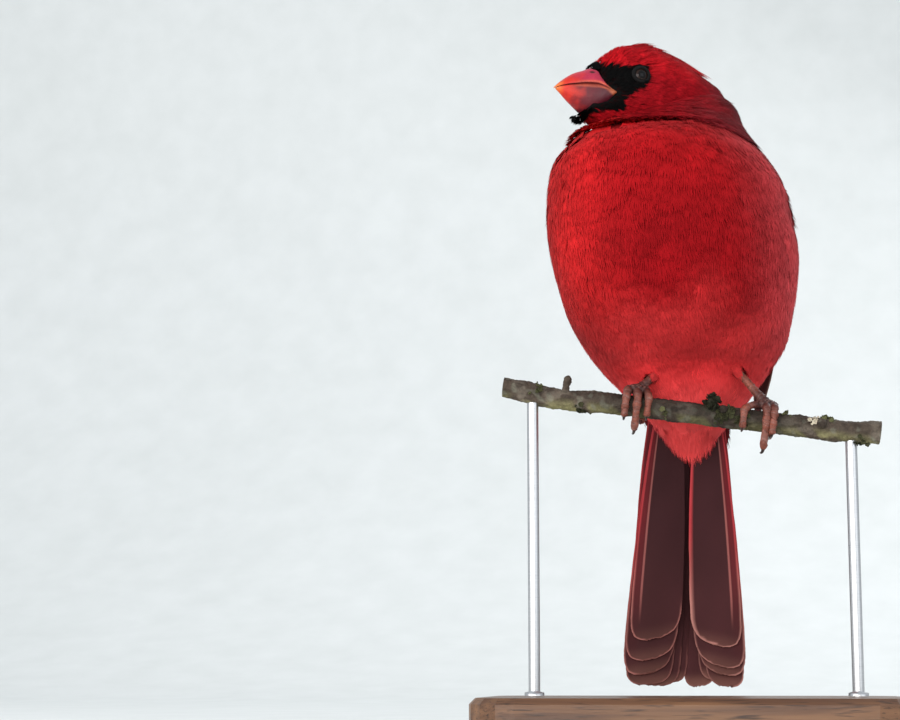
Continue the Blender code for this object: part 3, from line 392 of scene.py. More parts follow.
def neck(u, angle):
    """The neck, 0 at the torso to 20 at the head: lines between two rings, swollen by a sine.

    Below 0 it runs on over the torso, so that a feather rooted on the neck lies down on the breast.
    """
    u, angle = np.broadcast_arrays(np.asarray(u, float), angle)
    share = np.clip(u / 20.0, 0, 1.3)[..., None]
    slant = unit([-1.0, 0.0, NECK_PLANE_RISE])
    middle = np.array([NECK_MIDDLE, 0.0, -NECK_PLANE_DROP - NECK_MIDDLE * NECK_PLANE_RISE])
    along, wide = NECK_HALF_SIZE
    out_top = (
        np.cos(angle)[..., None] * slant * along + np.sin(angle)[..., None] * np.array([0, -1.0, 0]) * wide
    )
    top = from_head(middle + out_top)
    on_torso = angle + np.pi - HEAD_TURN
    low = torso(97.0 + 0.7 * np.minimum(u, 0.0), on_torso)
    left, right, front, back = through(TORSO, 97.0)
    out_low = (low - np.array([(left + right) / 2, (front + back) / 2, 0.0])) * np.array([1.0, 1.0, 0.0])
    bulge = unit(out_low * (1 - share) + out_top @ HEAD_AXES.T * share)
    full = NECK_FULLNESS[0] + (NECK_FULLNESS[1] - NECK_FULLNESS[0]) * ramp(0.2, 1.0, np.cos(angle))[..., None]
    return low * (1 - share) + top * share + bulge * full * np.sin(np.pi * np.clip(share, 0, 1) ** 1.45)


def shell(h, angle):
    """The surface that the wings lie on: the torso, and lower down the line that the wings hang along."""
    left, right, front, back = np.moveaxis(through(TORSO, h), -1, 0)
    hang_left, hang_right, hang_back = np.moveaxis(through(WING_HANG, h), -1, 0)
    middle_y = (front + back) / 2
    low = np.clip((58.0 - h) / 20.0, 0, 1)
    left = mix(left, np.minimum(hang_left, left), low)
    right = mix(right, np.maximum(hang_right, right), low)
    back = mix(back, np.maximum(hang_back, back), low)
    x = (left + right) / 2 + (right - left) / 2 * np.sin(angle)
    y = middle_y - np.maximum(back - middle_y, 20.0) * np.cos(angle)
    return stack(x, y, PERCH_HEIGHT + h)


def wing_place(side, along, across):
    """A folded wing's surface, shoulder 0 to tip 1 and mm towards the back: places and normals."""
    sign = 1.0 if side == "left" else -1.0
    start, end = WING_ANGLE[side]

    def at(s, b):
        turn = np.radians(start + (end - start) * np.clip(s, 0, 1.1) ** 1.3) + b / 39.0
        return shell(WING_TOP + (WING_TIP[side] - WING_TOP) * s, sign * turn)

    along, across = np.broadcast_arrays(np.asarray(along, float), np.asarray(across, float))
    down = unit(at(along + 0.01, across) - at(along - 0.01, across))
    backwards = unit(at(along, across + 0.5) - at(along, across - 0.5))
    return at(along, across), unit(np.cross(down, backwards)) * sign


def tail_frame():
    """The tail's directions: down its length, to the bird's left, and out of its upper side."""
    back, side = math.sin(TAIL_LEAN_BACK), math.sin(TAIL_LEAN_SIDE)
    down = unit([-side, back, -math.cos(TAIL_LEAN_BACK)])
    left = unit(np.cross([0.0, math.cos(TAIL_LEAN_BACK), back], down))
    left = left if left[0] > 0 else -left
    upper = unit(np.cross(down, left))
    return down, left, upper * np.sign(upper[1])


def thigh(side):
    """A feathered upper leg: rings round a line that widens from the bare leg's end into the belly."""
    lean = unit(LEG_LEAN[side])
    end = perch_point(FOOT_X[side]) + PERCH_UP * (WRAP_RADIUS + 0.5) + lean * LEG_BARE[side]
    up = unit(lean + np.array([0.0, -0.25, 0.35]))
    across = unit(np.cross(lean, [0.0, 1.0, 0.0]))
    other = np.cross(lean, across)
    size = ((0.0, 1.7), (0.2, 2.6), (0.4, 3.5), (0.6, 4.3), (0.8, 4.8), (1.0, 4.6))

    def surface(u, angle):
        share = u / 20.0
        middle = end + np.multiply.outer(share * 15.0, lean) + np.multiply.outer(9.0 * share**2, up - lean)
        ring = np.cos(angle)[..., None] * across + np.sin(angle)[..., None] * other
        return middle + ring * through(size, share)

    return surface


def perch_point(x):
    """A point on the perch's middle line."""
    return stack(x, 0.0, PERCH_HEIGHT - math.tan(PERCH_SLOPE) * x)


# Meshes
def grid_faces(rows, columns, wrap=False):
    """Triangles of a grid of points, two for each cell, joined round in its columns if wrap is set."""
    i, j = np.meshgrid(np.arange(rows - 1), np.arange(columns if wrap else columns - 1), indexing="ij")
    a, b = i * columns + j, i * columns + (j + 1) % columns
    c, d = a + columns, b + columns
    return np.concatenate([stack(a, c, b).reshape(-1, 3), stack(b, c, d).reshape(-1, 3)])


def outward(points, triangles):
    """A closed mesh with its triangles turned so that its volume, the sum of a.(b x c) / 6, is positive."""
    a, b, c = (points[triangles[:, k]] for k in range(3))
    return triangles if np.sum(a * np.cross(b, c)) > 0 else triangles[:, ::-1]


def facing(points, triangles):
    """The sum of a mesh's triangle normals, each as long as its triangle is large."""
    a, b, c = (points[triangles[:, k]] for k in range(3))
    return np.sum(np.cross(b - a, c - a), axis=0)


def loft(rings):
    """A closed body: a grid of rings, with a middle point closing each end."""
    rows, columns = rings.shape[:2]
    points = np.concatenate([rings.reshape(-1, 3), rings[0].mean(0)[None], rings[-1].mean(0)[None]])
    j = np.arange(columns)
    k = (j + 1) % columns
    first = stack(rows * columns, j, k)
    last = stack(rows * columns + 1, (rows - 1) * columns + k, (rows - 1) * columns + j)
    triangles = np.concatenate([grid_faces(rows, columns, True), first, last])
    return points, outward(points, triangles)


def tube(path, radii, reference, around=18, shape=None):
    """A closed tube along a path: each ring lies across it, its angle 0 on the side of the reference.

    shape(share, angle) gives a factor on the radius.
    """
    course = unit(np.gradient(path, axis=0))
    first = unit(reference - course * dot(course, np.broadcast_to(reference, path.shape)))
    second = np.cross(course, first)
    angle = full_turn(around)
    share = np.linspace(0, 1, len(path))
    size = np.asarray(radii, float)[:, None] * (shape(share[:, None], angle[None]) if shape else 1.0)
    ring = np.cos(angle)[None, :, None] * first[:, None] + np.sin(angle)[None, :, None] * second[:, None]
    return loft(path[:, None] + ring * size[..., None])


def resample(path, count):
    """The same path with more points, at even shares, by cubic pieces."""
    share = np.linspace(0, 1, len(path))
    return through(np.column_stack([share, path]), np.linspace(0, 1, count))


def together(meshes):
    """Several meshes as one: points, triangles."""
    sizes = np.cumsum([0] + [len(points) for points, _ in meshes])
    points = np.concatenate([points for points, _ in meshes])
    return points, np.concatenate([triangles + size for (_, triangles), size in zip(meshes, sizes)])


def linked(name, data):
    """A new object in the scene."""
    made = bpy.data.objects.new(name, data)
    bpy.context.scene.collection.objects.link(made)
    return made


def paint(mesh, colour):
    """The colours of a mesh's points, in the attribute that the finishes read."""
    rgba = np.concatenate([colour.reshape(-1, 3), np.ones((len(mesh.vertices), 1))], axis=1).astype(np.float32)
    mesh.attributes.new("Plumage", "FLOAT_COLOR", "POINT").data.foreach_set("color", rgba.ravel())


def put(name, points, triangles, finish, slot, stands_for=(), colour=None, maps=()):
    """The finished piece: points in mm, triangles, colours of points, and UV maps of points by name."""
    mesh = bpy.data.meshes.new(name)
    points = np.ascontiguousarray(np.asarray(points).reshape(-1, 3) * MM, np.float32)
    triangles = np.ascontiguousarray(triangles, np.int32)
    mesh.vertices.add(len(points))
    mesh.vertices.foreach_set("co", points.ravel())
    mesh.loops.add(triangles.size)
    mesh.loops.foreach_set("vertex_index", triangles.ravel())
    mesh.polygons.add(len(triangles))
    mesh.polygons.foreach_set("loop_start", np.arange(0, triangles.size, 3, dtype=np.int32))
    mesh.polygons.foreach_set("use_smooth", np.ones(len(triangles), bool))
    mesh.update(calc_edges=True)
    if colour is not None:
        paint(mesh, colour)
    for key, at in maps:
        layer = mesh.uv_layers.new(name=key)
        layer.uv.foreach_set("vector", at.reshape(-1, 2)[triangles.ravel()].astype(np.float32).ravel())
    obj = linked(name, mesh)
    mesh.materials.append(finish)
    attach(obj, "root")
    if stands_for:
        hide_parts(*stands_for)
    return obj


# Feathers
def touch(surface, u, v):
    """Place, outward normal and the two derivatives of a surface, by small differences."""
    by_u = (surface(u + 0.05, v) - surface(u - 0.05, v)) / 0.1
    by_v = (surface(u, v + 0.004) - surface(u, v - 0.004)) / 0.008
    return surface(u, v), unit(np.cross(by_v, by_u)), by_u, by_v


def scatter(surface, u_range, v_range, spacing, draws):
    """Roots spread evenly over a surface: points of a low-discrepancy sequence, thinned by local area."""
    probe_u, probe_v = np.meshgrid(np.linspace(*u_range, 60), np.linspace(*v_range, 60))
    _, _, by_u, by_v = touch(surface, probe_u, probe_v)
    scale = (u_range[1] - u_range[0]) * (v_range[1] - v_range[0])
    most = np.linalg.norm(np.cross(by_u, by_v), axis=-1).max() * scale * 1.02
    k = np.arange(int(most / spacing**2))
    u = u_range[0] + (u_range[1] - u_range[0]) * ((0.5 + k * 0.7548776662) % 1)
    v = v_range[0] + (v_range[1] - v_range[0]) * ((0.5 + k * 0.5698402910) % 1)
    _, _, by_u, by_v = touch(surface, u, v)
    area = np.linalg.norm(np.cross(by_u, by_v), axis=-1) * scale
    keep = area / most > draws.random(len(k))
    return u[keep], v[keep]


def lay(surface, u, v, turn, length, count=6):
    """Centre lines of feathers: equal steps from (u, v) along falling u, turned sideways by an angle.

    Each step is split between the surface's two derivatives by their 2 x 2 metric.
    """
    u, v = np.array(u, float), np.array(v, float)
    turn, length = np.broadcast_to(turn, u.shape), np.broadcast_to(length, u.shape)
    lines = []
    for _ in range(count):
        place, normal, by_u, by_v = touch(surface, u, v)
        down = -unit(by_u)
        course = down * np.cos(turn)[..., None] + np.cross(normal, down) * np.sin(turn)[..., None]
        lines.append((place, course, normal))
        step = course * (length / (count - 1))[..., None]
        uu, uv, vv = dot(by_u, by_u)[..., 0], dot(by_u, by_v)[..., 0], dot(by_v, by_v)[..., 0]
        a, b = dot(step, by_u)[..., 0], dot(step, by_v)[..., 0]
        area = np.maximum(uu * vv - uv**2, 1e-6)
        u, v = u + (vv * a - uv * b) / area, v + (uu * b - uv * a) / area
    place, course, normal = (np.stack(part, axis=1) for part in zip(*lines))
    return place, np.cross(course, normal), normal, length


def soft_vane(draws, kinds, barbs, reach=0.34, split=0.5):
    """Templates of a loose body feather: a short base vane under a fan of tapering barbs.

    Each is a list of points: along 0 to 1, across in half widths, lift in mm and tone, 0 at the root.
    A barb runs from beside the shaft to the rounded outline, in two cells.
    """
    along, across = np.meshgrid([0.04, 0.35, 0.6, 0.78], np.linspace(-1, 1, 4), indexing="ij")
    width = through(((0, 0.35), (0.3, 0.85), (0.55, 0.95), (0.8, 0.72), (1, 0.3)), along)[..., 0]
    base = stack(along, across * width, -0.25, along * 0.75).reshape(-1, 4)
    triangles = [grid_faces(4, 4)]
    made = np.repeat(base[None], kinds, axis=0)
    turn = np.linspace(-1, 1, barbs) * 1.95 + draws.normal(0, 0.5 / barbs, (kinds, barbs))
    end_s = 0.68 + 0.34 * np.cos(turn) + draws.normal(0, 0.045, turn.shape)
    end_x = np.sin(turn) * 1.02
    start_s = end_s - reach - 0.14 * np.cos(turn) + draws.normal(0, 0.03, turn.shape)
    start_x = end_x * 0.32
    middle_s = (start_s + end_s) / 2 + 0.02
    middle_x = start_x * 0.38 + end_x * 0.62 + draws.normal(0, 0.04, turn.shape)
    along_x, along_s = end_x - start_x, (end_s - start_s) * 3.4
    size = np.hypot(along_x, along_s)
    out_s, out_x = -along_x / size / 3.4, along_s / size
    broad = 1.5 / barbs * draws.uniform(0.75, 1.25, turn.shape)
    tip_lift = draws.uniform(-0.15, split, turn.shape)
    zero = np.zeros(turn.shape)
    corners = [
        (start_s - out_s * broad, start_x - out_x * broad, zero - 0.1, start_s * 0.9),
        (start_s + out_s * broad, start_x + out_x * broad, zero - 0.1, start_s * 0.9),
        (middle_s - out_s * broad, middle_x - out_x * broad, tip_lift * 0.4, zero + 0.8),
        (middle_s + out_s * broad, middle_x + out_x * broad, tip_lift * 0.4, zero + 0.8),
        (end_s, end_x, tip_lift, zero + 1.0),
    ]
    fan = np.stack([np.stack(corner, -1) for corner in corners], axis=2).reshape(kinds, -1, 4)
    cell = np.array([[0, 2, 1], [1, 2, 3], [2, 4, 3]])
    triangles.append((16 + np.arange(barbs)[:, None, None] * 5 + cell[None]).reshape(-1, 3))
    return np.concatenate([made, fan], axis=1), np.concatenate(triangles)


def firm_vane(outline, rows, columns, thickness, draws, kinds=4, rough=0.004):
    """Templates of a firm feather: a thin closed plate, its edge a little ragged.

    rows are shares along, columns are shares across, and the plate's two faces meet at its edge.
    """
    along, across = np.meshgrid(rows, columns, indexing="ij")
    width = through(outline, along)[..., 0]
    layers = []
    for face in (1.0, -1.0):
        half = thickness / 2 * face * (1 - 0.8 * np.abs(across) ** 6)
        layers.append(stack(along, across * width, half, along).reshape(-1, 4))
    made = np.repeat(np.concatenate(layers)[None], kinds, axis=0)
    edge = (np.abs(across) > 0.99) | (along > 0.995)
    notch = np.tile(np.where(edge, 1.0, 0.0).reshape(-1), 2)
    shake = draws.normal(0, rough, (kinds, len(notch) // 2))
    made[..., 0] += np.tile(shake, (1, 2)) * notch
    made[..., 1] *= 1 - np.abs(np.tile(shake, (1, 2))) * notch * 6
    n, m = along.shape
    top = grid_faces(n, m)
    first_row, last_column = np.arange(m), np.arange(1, n) * m + m - 1
    last_row, first_column = n * m - 2 - np.arange(m - 1), (n - 2 - np.arange(n - 2)) * m
    ring = np.concatenate([first_row, last_column, last_row, first_column])
    next_ring = np.roll(ring, -1)
    wall = np.concatenate(
        [stack(ring, next_ring, ring + n * m), stack(next_ring, next_ring + n * m, ring + n * m)]
    )
    triangles = np.concatenate([top, top[:, ::-1] + n * m, wall])
    return made, triangles


def feathers(lines, template, half_width, lift, draws, bake, cup=0.25, patch=0.003):
    """Every feather's points from its centre line and a template.

    A point is the line's place at its share, plus the side times its distance across, plus the normal
    times its lift: the line's own lift, the template's, less cup times the square of the share across.
    """
    place, side, normal, length = lines
    points, triangles = template
    pick = draws.integers(0, len(points), len(place))
    s, x, z, tone = np.moveaxis(points[pick], -1, 0)
    last = place.shape[1] - 1
    i = np.clip(np.floor(s * last).astype(int), 0, last - 1)
    w = (s * last - i)[..., None]
    row = np.arange(len(place))[:, None]

    def at(values):
        return values[row, i] * (1 - w) + values[row, i + 1] * w

    half_width = np.broadcast_to(half_width, len(place))[:, None]
    raised = z + lift(s) - cup * half_width * 0.25 * x**2
    made = at(place) + at(side) * (x * half_width)[..., None] + at(normal) * raised[..., None]
    if np.sum(facing(made[0], triangles) * normal[0].mean(0)) < 0:
        triangles = triangles[:, ::-1]
    faces = (triangles[None] + (np.arange(len(place)) * points.shape[1])[:, None, None]).reshape(-1, 3)
    smooth = unit(at(normal) + at(side) * (x * 0.22)[..., None])
    patch_uv = bake[:, None, :] + stack(x, s * 2 - 1) * patch / 2
    vane_uv = stack(x * half_width, s * length[:, None]) * 0.01
    return {
        "points": made,
        "faces": faces,
        "tone": tone,
        "share": s,
        "across": x,
        "bake": patch_uv,
        "vane": vane_uv,
        "normal": smooth,
    }


def dress(name, parts, finish, slot, stands_for=(), soft=True):
    """One coat piece from several runs of feathers, each with its colours.

    Soft feathers are lit by the body's own normals, a little rounded across each feather.
    """
    sizes = np.cumsum([0] + [part["points"].shape[0] * part["points"].shape[1] for part in parts])
    joined = {
        key: np.concatenate([part[key].reshape(-1, part[key].shape[-1]) for part in parts])
        for key in ("points", "bake", "vane", "colour", "normal")
    }
    faces = np.concatenate([part["faces"] + size for part, size in zip(parts, sizes)])
    maps = (("OFBake", joined["bake"]), ("Vane", joined["vane"]))
    print(name, len(faces), "triangles")
    piece = put(name, joined["points"], faces, finish, slot, stands_for, joined["colour"], maps)
    if soft:
        piece.data.normals_split_custom_set_from_vertices(joined["normal"])
    return piece


# Markings
def depth_inside(corners, forward, up):
    """How far inside an outline a place on the head's side is, in mm: signed distance to its edges."""
    corner = np.array(corners)
    after = np.roll(corner, -1, axis=0)
    at = stack(forward, up)[..., None, :]
    edge = after - corner
    t = np.clip(np.sum((at - corner) * edge, -1) / np.sum(edge * edge, -1), 0, 1)
    away = np.linalg.norm(at - corner - edge * t[..., None], axis=-1).min(-1)
    crosses = (corner[:, 1] > at[..., 1]) != (after[:, 1] > at[..., 1])
    where = (
        corner[:, 0] + (at[..., 1] - corner[:, 1]) / np.where(edge[:, 1] == 0, 1e-9, edge[:, 1]) * edge[:, 0]
    )
    inside = np.sum(crosses & (at[..., 0] < where), -1) % 2 == 1
    return np.where(inside, away, -away)


def head_colour(points):
    """Markings of the head and neck: black mask, bright forehead, red crown, darker cheek and nape."""
    f, left, up = np.moveaxis(to_head(points), -1, 0)
    colour = mix(CHEEK_RED, CROWN_RED, ramp(-2.0, 6.0, up))
    colour = mix(colour, FOREHEAD_RED, ramp(3.0, 11.0, f) * ramp(2.0, 4.5, up))
    colour = mix(colour, CHIN_RED, ramp(-8.0, -13.0, up) * ramp(-14.0, 0.0, f))
    dull = np.maximum(ramp(-16.0, -36.0, f), 0.55 * ramp(-4.0, -14.0, up) * ramp(-2.0, -22.0, f))
    colour = mix(colour, NAPE_RED, dull)
    strand = blotches(stack(f * 0.22, left, up), 1.9, 4)
    colour = colour * (1 + 0.14 * blotches(points, 9.0, 3) + 0.20 * strand * ramp(8.0, -4.0, up))[..., None]
    inside = depth_inside(MASK, f + 0.5 * blotches(points, 2.6, 5), up + 0.45 * blotches(points, 2.2, 6))
    return mix(colour, MASK_BLACK, ramp(-0.35, 0.35, inside))


def body_colour(points):
    """Markings of the torso: breast, deeper middle, pale warm belly and vent, dull grey-red back.

    Painted light brightens the breast on the bird's right side, and the belly and vent over their own paler
    red; a painted sheen lightens the bird's left flank, and painted shade darkens a fold in the middle of the
    breast.
    """
    h = points[..., 2] - PERCH_HEIGHT
    left, right, front, back = np.moveaxis(through(TORSO, h), -1, 0)
    angle = np.arctan2(
        (points[..., 0] - (left + right) / 2) / (right - left),
        -(points[..., 1] - (front + back) / 2) / (back - front),
    )
    colour = mix(DEEP_RED, BREAST_RED, ramp(52.0, 92.0, h + 8 * blotches(points, 50.0, 11)))
    # Belly and vent: their own paler red, painted brighter for light from below
    colour = mix(colour, BELLY_RED, ramp(48.0, 14.0, h + 7 * blotches(points, 40.0, 12)))
    colour = mix(colour, VENT_RED, ramp(20.0, 4.0, h))
    # Painted light: the bird's right side of the breast is painted brighter, where the light falls
    bright = ramp(math.radians(-12), math.radians(-62), angle) * ramp(12, 50, h)
    colour = mix(colour, LIT_SIDE_RED, 0.85 * bright)
    # Painted sheen: the bird's left flank is painted paler and pinker
    flank_sheen = ramp(math.radians(25), math.radians(85), angle) * ramp(10, 40, h)
    colour = mix(colour, FLANK_SHEEN_RED, 0.85 * flank_sheen)
    colour = mix(colour, BACK_RED, ramp(math.radians(104), math.radians(135), np.abs(angle)) * ramp(-30, -5, h))
    streaks = blotches(points * np.array([1.0, 1.0, 0.16]), 6.5, 13)
    patches = blotches(points * np.array([1.0, 1.0, 0.55]), 22.0, 14)
    smudge = np.hypot((points[..., 0] - 8.5 + 0.25 * (h - 40)) / 4.5, (h - 41.0) / 12.0)
    # Painted shade: a fold in the middle of the breast is painted darker
    fold = np.hypot((points[..., 0] - 1.0) / 9.0, (h - 66.0) / 16.0)
    streaks = streaks - 1.6 * np.exp(-(smudge**2)) * ramp(0, -10, points[..., 1]) - 0.5 * np.exp(-(fold**2))
    return colour * (1 + 0.12 * streaks + 0.12 * patches)[..., None]


def vent_colour(points):
    """Undertail coverts: the vent's red, dusky purple towards the sides and tip of the fan."""
    down, left, _ = tail_frame()
    out, along = (points - TAIL_ROOT) @ left - 0.8, (points - TAIL_ROOT) @ down
    half = through(((0, 15.0), (12, 11.0), (18, 8.6), (22, 6.4), (26, 4.0)), along)[..., 0]
    rim = np.maximum(
        ramp(0.62, 1.05, np.abs(out) / half) * ramp(4.0, 12.0, along), 0.6 * ramp(19.0, 23.0, along)
    )
    return mix(body_colour(points), COVERT_PURPLE, rim * 0.75)


def shade(part, marking, draws, spread=0.05, down=0.42, fade=(-0.5, 0.3)):
    """A run of feathers with its colours: the marking at each root, varied a little, over darker down."""
    count, size = part["tone"].shape
    root = marking(part["points"].mean(axis=1))
    vary = draws.normal(1.0, spread, (count, 1))
    colour = np.broadcast_to((root * vary)[:, None], (count, size, 3))
    worn = np.clip(draws.normal(0, 0.08, (count, 1)), -0.1, 0.3)
    dusky = colour * down + np.array(DOWN_GREY) * 0.12
    part["colour"] = mix(dusky, colour, ramp(fade[0] + worn, fade[1] + worn, part["tone"]))
    return part


# Finishes
def group(name, inputs, outputs):
    """An empty shader group with named inputs and outputs: (socket kind, name, value)."""
    made = bpy.data.node_groups.new(name, "ShaderNodeTree")
    for kind, label, value in inputs:
        socket = made.interface.new_socket(label, in_out="INPUT", socket_type="NodeSocket" + kind)
        if value is not None:
            socket.default_value = value
    for kind, label in outputs:
        made.interface.new_socket(label, in_out="OUTPUT", socket_type="NodeSocket" + kind)
    return made, made.nodes.new("NodeGroupInput"), made.nodes.new("NodeGroupOutput")


def node(tree, kind, links=(), **values):
    """A node with its properties, its sockets' values, and its links: socket = value or output."""
    made = tree.nodes.new("ShaderNode" + kind)
    for key, value in values.items():
        setattr(made, key, value)
    for key, value in dict(links).items():
        socket = made.inputs[key]
        if isinstance(value, bpy.types.NodeSocket):
            tree.links.new(value, socket)
        else:
            socket.default_value = value
    return made


def maths(tree, operation, a, b=0.0, c=0.0):
    return node(tree, "Math", {0: a, 1: b, 2: c}, operation=operation).outputs[0]


def blend(tree, share, a, b, how="MIX"):
    """A Mix node on colours."""
    made = tree.nodes.new("ShaderNodeMix")
    made.data_type = "RGBA"
    made.blend_type = how
    for key, value in ((0, share), (6, a), (7, b)):
        if isinstance(value, bpy.types.NodeSocket):
            tree.links.new(value, made.inputs[key])
        elif key:
            made.inputs[key].default_value = (*value, 1.0)
        else:
            made.inputs[key].default_value = value
    return made.outputs[2]


def finish(name, roughness, specular=0.3, **constants):
    """A material with one Principled shader, and its tree: constants go straight on the shader's sockets."""
    made = bpy.data.materials.new(name)
    made.use_nodes = True
    tree = made.node_tree
    shader = tree.nodes["Principled BSDF"]
    shader.inputs["Roughness"].default_value = roughness
    shader.inputs["Specular IOR Level"].default_value = specular
    for key, value in constants.items():
        shader.inputs[key.replace("_", " ")].default_value = value
    return made, tree, shader


def barbs_group():
    """Barbs of a vane: fine waves that slant away from the shaft, broken by noise, from the Vane map."""
    made, inside, out = group(
        "barbs",
        [("Vector", "Vane", None), ("Float", "Spacing", 0.45), ("Float", "Slant", 1.4)],
        [("Float", "Height"), ("Float", "Shade")],
    )
    split = node(made, "SeparateXYZ", {0: inside.outputs["Vane"]})
    across = maths(made, "MULTIPLY", maths(made, "ABSOLUTE", split.outputs[0]), 100.0)
    along = maths(made, "MULTIPLY", split.outputs[1], 100.0)
    course = maths(made, "SUBTRACT", along, maths(made, "MULTIPLY", across, inside.outputs["Slant"]))
    broken = node(made, "TexNoise", {"Vector": inside.outputs["Vane"], "Scale": 60.0, "Detail": 3.0})
    course = maths(made, "ADD", course, maths(made, "MULTIPLY", broken.outputs[0], 1.6))
    wave = maths(
        made, "SINE", maths(made, "MULTIPLY", maths(made, "DIVIDE", course, inside.outputs["Spacing"]), 6.2832)
    )
    made.links.new(wave, out.inputs["Height"])
    made.links.new(
        maths(made, "MULTIPLY", maths(made, "ADD", wave, broken.outputs[0]), 0.5), out.inputs["Shade"]
    )
    return made


def speckle_group():
    """Uneven tone: two sizes of noise on Object coordinates, in one mask about 0."""
    made, inside, out = group(
        "uneven tone",
        [("Vector", "Place", None), ("Float", "Coarse", 40.0), ("Float", "Fine", 400.0)],
        [("Float", "Tone")],
    )
    coarse = node(
        made, "TexNoise", {"Vector": inside.outputs["Place"], "Scale": inside.outputs["Coarse"], "Detail": 4.0}
    )
    fine = node(
        made, "TexNoise", {"Vector": inside.outputs["Place"], "Scale": inside.outputs["Fine"], "Detail": 3.0}
    )
    total = maths(
        made,
        "ADD",
        maths(made, "SUBTRACT", coarse.outputs[0], 0.5),
        maths(made, "SUBTRACT", fine.outputs[0], 0.5),
    )
    made.links.new(total, out.inputs["Tone"])
    return made


BARBS = barbs_group()
SPECKLE = speckle_group()


def use(tree, source, **inputs):
    """A group placed in a material with its own values."""
    made = tree.nodes.new("ShaderNodeGroup")
    made.node_tree = source
    for key, value in inputs.items():
        if isinstance(value, bpy.types.NodeSocket):
            tree.links.new(value, made.inputs[key])
        else:
            made.inputs[key].default_value = value
    return made


def tinted(tree, colour, tone, depth):
    """A colour made lighter and darker by a mask about 0."""
    factor = maths(tree, "MULTIPLY_ADD", tone, depth, 1.0)
    return node(tree, "VectorMath", {0: colour, "Scale": factor}, operation="SCALE").outputs[0]


def painted(tree):
    """The colour attribute, as a socket."""
    return node(tree, "Attribute", attribute_name="Plumage", attribute_type="GEOMETRY").outputs["Color"]


def emboss(tree, shader, height, strength, distance):
    """Relief on a shader's normal."""
    bump = node(tree, "Bump", {"Height": height, "Strength": strength, "Distance": distance})
    tree.links.new(bump.outputs[0], shader.inputs["Normal"])


def plumage_finish(name, roughness, spacing, slant, depth, relief, sheen=0.12, specular=0.12):
    """Feathers: the colour attribute, streaked and raised by barbs."""
    made, tree, shader = finish(
        name, roughness, specular, Sheen_Weight=sheen, Sheen_Roughness=0.5, Sheen_Tint=(1.0, 0.42, 0.40, 1.0)
    )
    vane = node(tree, "UVMap", uv_map="Vane").outputs[0]
    barbs = use(tree, BARBS, Vane=vane, Spacing=spacing, Slant=slant)
    tree.links.new(tinted(tree, painted(tree), barbs.outputs["Shade"], depth), shader.inputs["Base Color"])
    emboss(tree, shader, barbs.outputs["Height"], relief, 0.0002)
    return made


def attribute_finish(
    name, roughness, specular, coarse, fine, depth, relief=0.0, distance=0.0004, gloss=None, **constants
):
    """A surface whose colour attribute is made uneven by noise, which also raises and roughens it."""
    made, tree, shader = finish(name, roughness, specular, **constants)
    place = node(tree, "TexCoord").outputs["Object"]
    tone = use(tree, SPECKLE, Place=place, Coarse=coarse, Fine=fine).outputs["Tone"]
    tree.links.new(tinted(tree, painted(tree), tone, depth), shader.inputs["Base Color"])
    if gloss:
        tree.links.new(maths(tree, "MULTIPLY_ADD", tone, *gloss), shader.inputs["Roughness"])
    if relief:
        emboss(tree, shader, tone, relief, distance)
    return made


def wood_finish():
    """Dark oiled wood of the base: long grain along X from stretched noise, with pores."""
    made, tree, shader = finish("stand wood", 0.42, 0.4)
    place = node(tree, "TexCoord").outputs["Object"]
    long = node(tree, "Mapping", {"Vector": place, "Scale": (6.0, 90.0, 90.0)}).outputs[0]
    grain = node(tree, "TexNoise", {"Vector": long, "Scale": 2.2, "Detail": 6.0, "Distortion": 0.6}).outputs[0]
    pores = node(tree, "Mapping", {"Vector": place, "Scale": (60.0, 900.0, 900.0)}).outputs[0]
    pore = node(tree, "TexNoise", {"Vector": pores, "Scale": 1.6, "Detail": 2.0}).outputs[0]
    rings = node(tree, "MapRange", {"Value": grain, "From Min": 0.35, "From Max": 0.65}).outputs[0]
    colour = blend(tree, rings, BASE_DARK, BASE_LIGHT)
    pit = node(tree, "MapRange", {"Value": pore, "From Min": 0.56, "From Max": 0.7}).outputs[0]
    colour = blend(tree, pit, colour, BASE_PORE)
    tree.links.new(colour, shader.inputs["Base Color"])
    tree.links.new(maths(tree, "MULTIPLY_ADD", grain, 0.25, 0.3), shader.inputs["Roughness"])
    emboss(tree, shader, pore, 0.18, 0.0003)
    return made


def steel_finish():
    """Brushed steel rods: fine rings round them in tone and roughness."""
    made, tree, shader = finish("stand steel", 0.32, 0.5)
    shader.inputs["Metallic"].default_value = 1.0
    place = node(tree, "TexCoord").outputs["Object"]
    fine = node(tree, "Mapping", {"Vector": place, "Scale": (120.0, 120.0, 5200.0)}).outputs[0]
    brushed = node(tree, "TexNoise", {"Vector": fine, "Scale": 1.0, "Detail": 3.0}).outputs[0]
    tree.links.new(blend(tree, brushed, STEEL_DARK, STEEL_LIGHT), shader.inputs["Base Color"])
    tree.links.new(maths(tree, "MULTIPLY_ADD", brushed, 0.2, 0.22), shader.inputs["Roughness"])
    return made


SOFT = plumage_finish("body feathers", 0.8, 0.5, 0.6, 0.05, 0.10, 0.10, 0.03)
SLEEK = plumage_finish("head feathers", 0.8, 0.4, 0.5, 0.12, 0.15, 0.0, 0.03)
FIRM = plumage_finish("flight feathers", 0.7, 0.42, 1.5, 0.16, 0.35, 0.0, 0.10)


# Coat
def body_lift(depth, top=0.0):
    """A body feather's own lift: sunk by the coat's depth at its root, up to the surface at its tip."""
    return lambda s: top - depth * (1 - ramp(-0.1, 0.95, s))


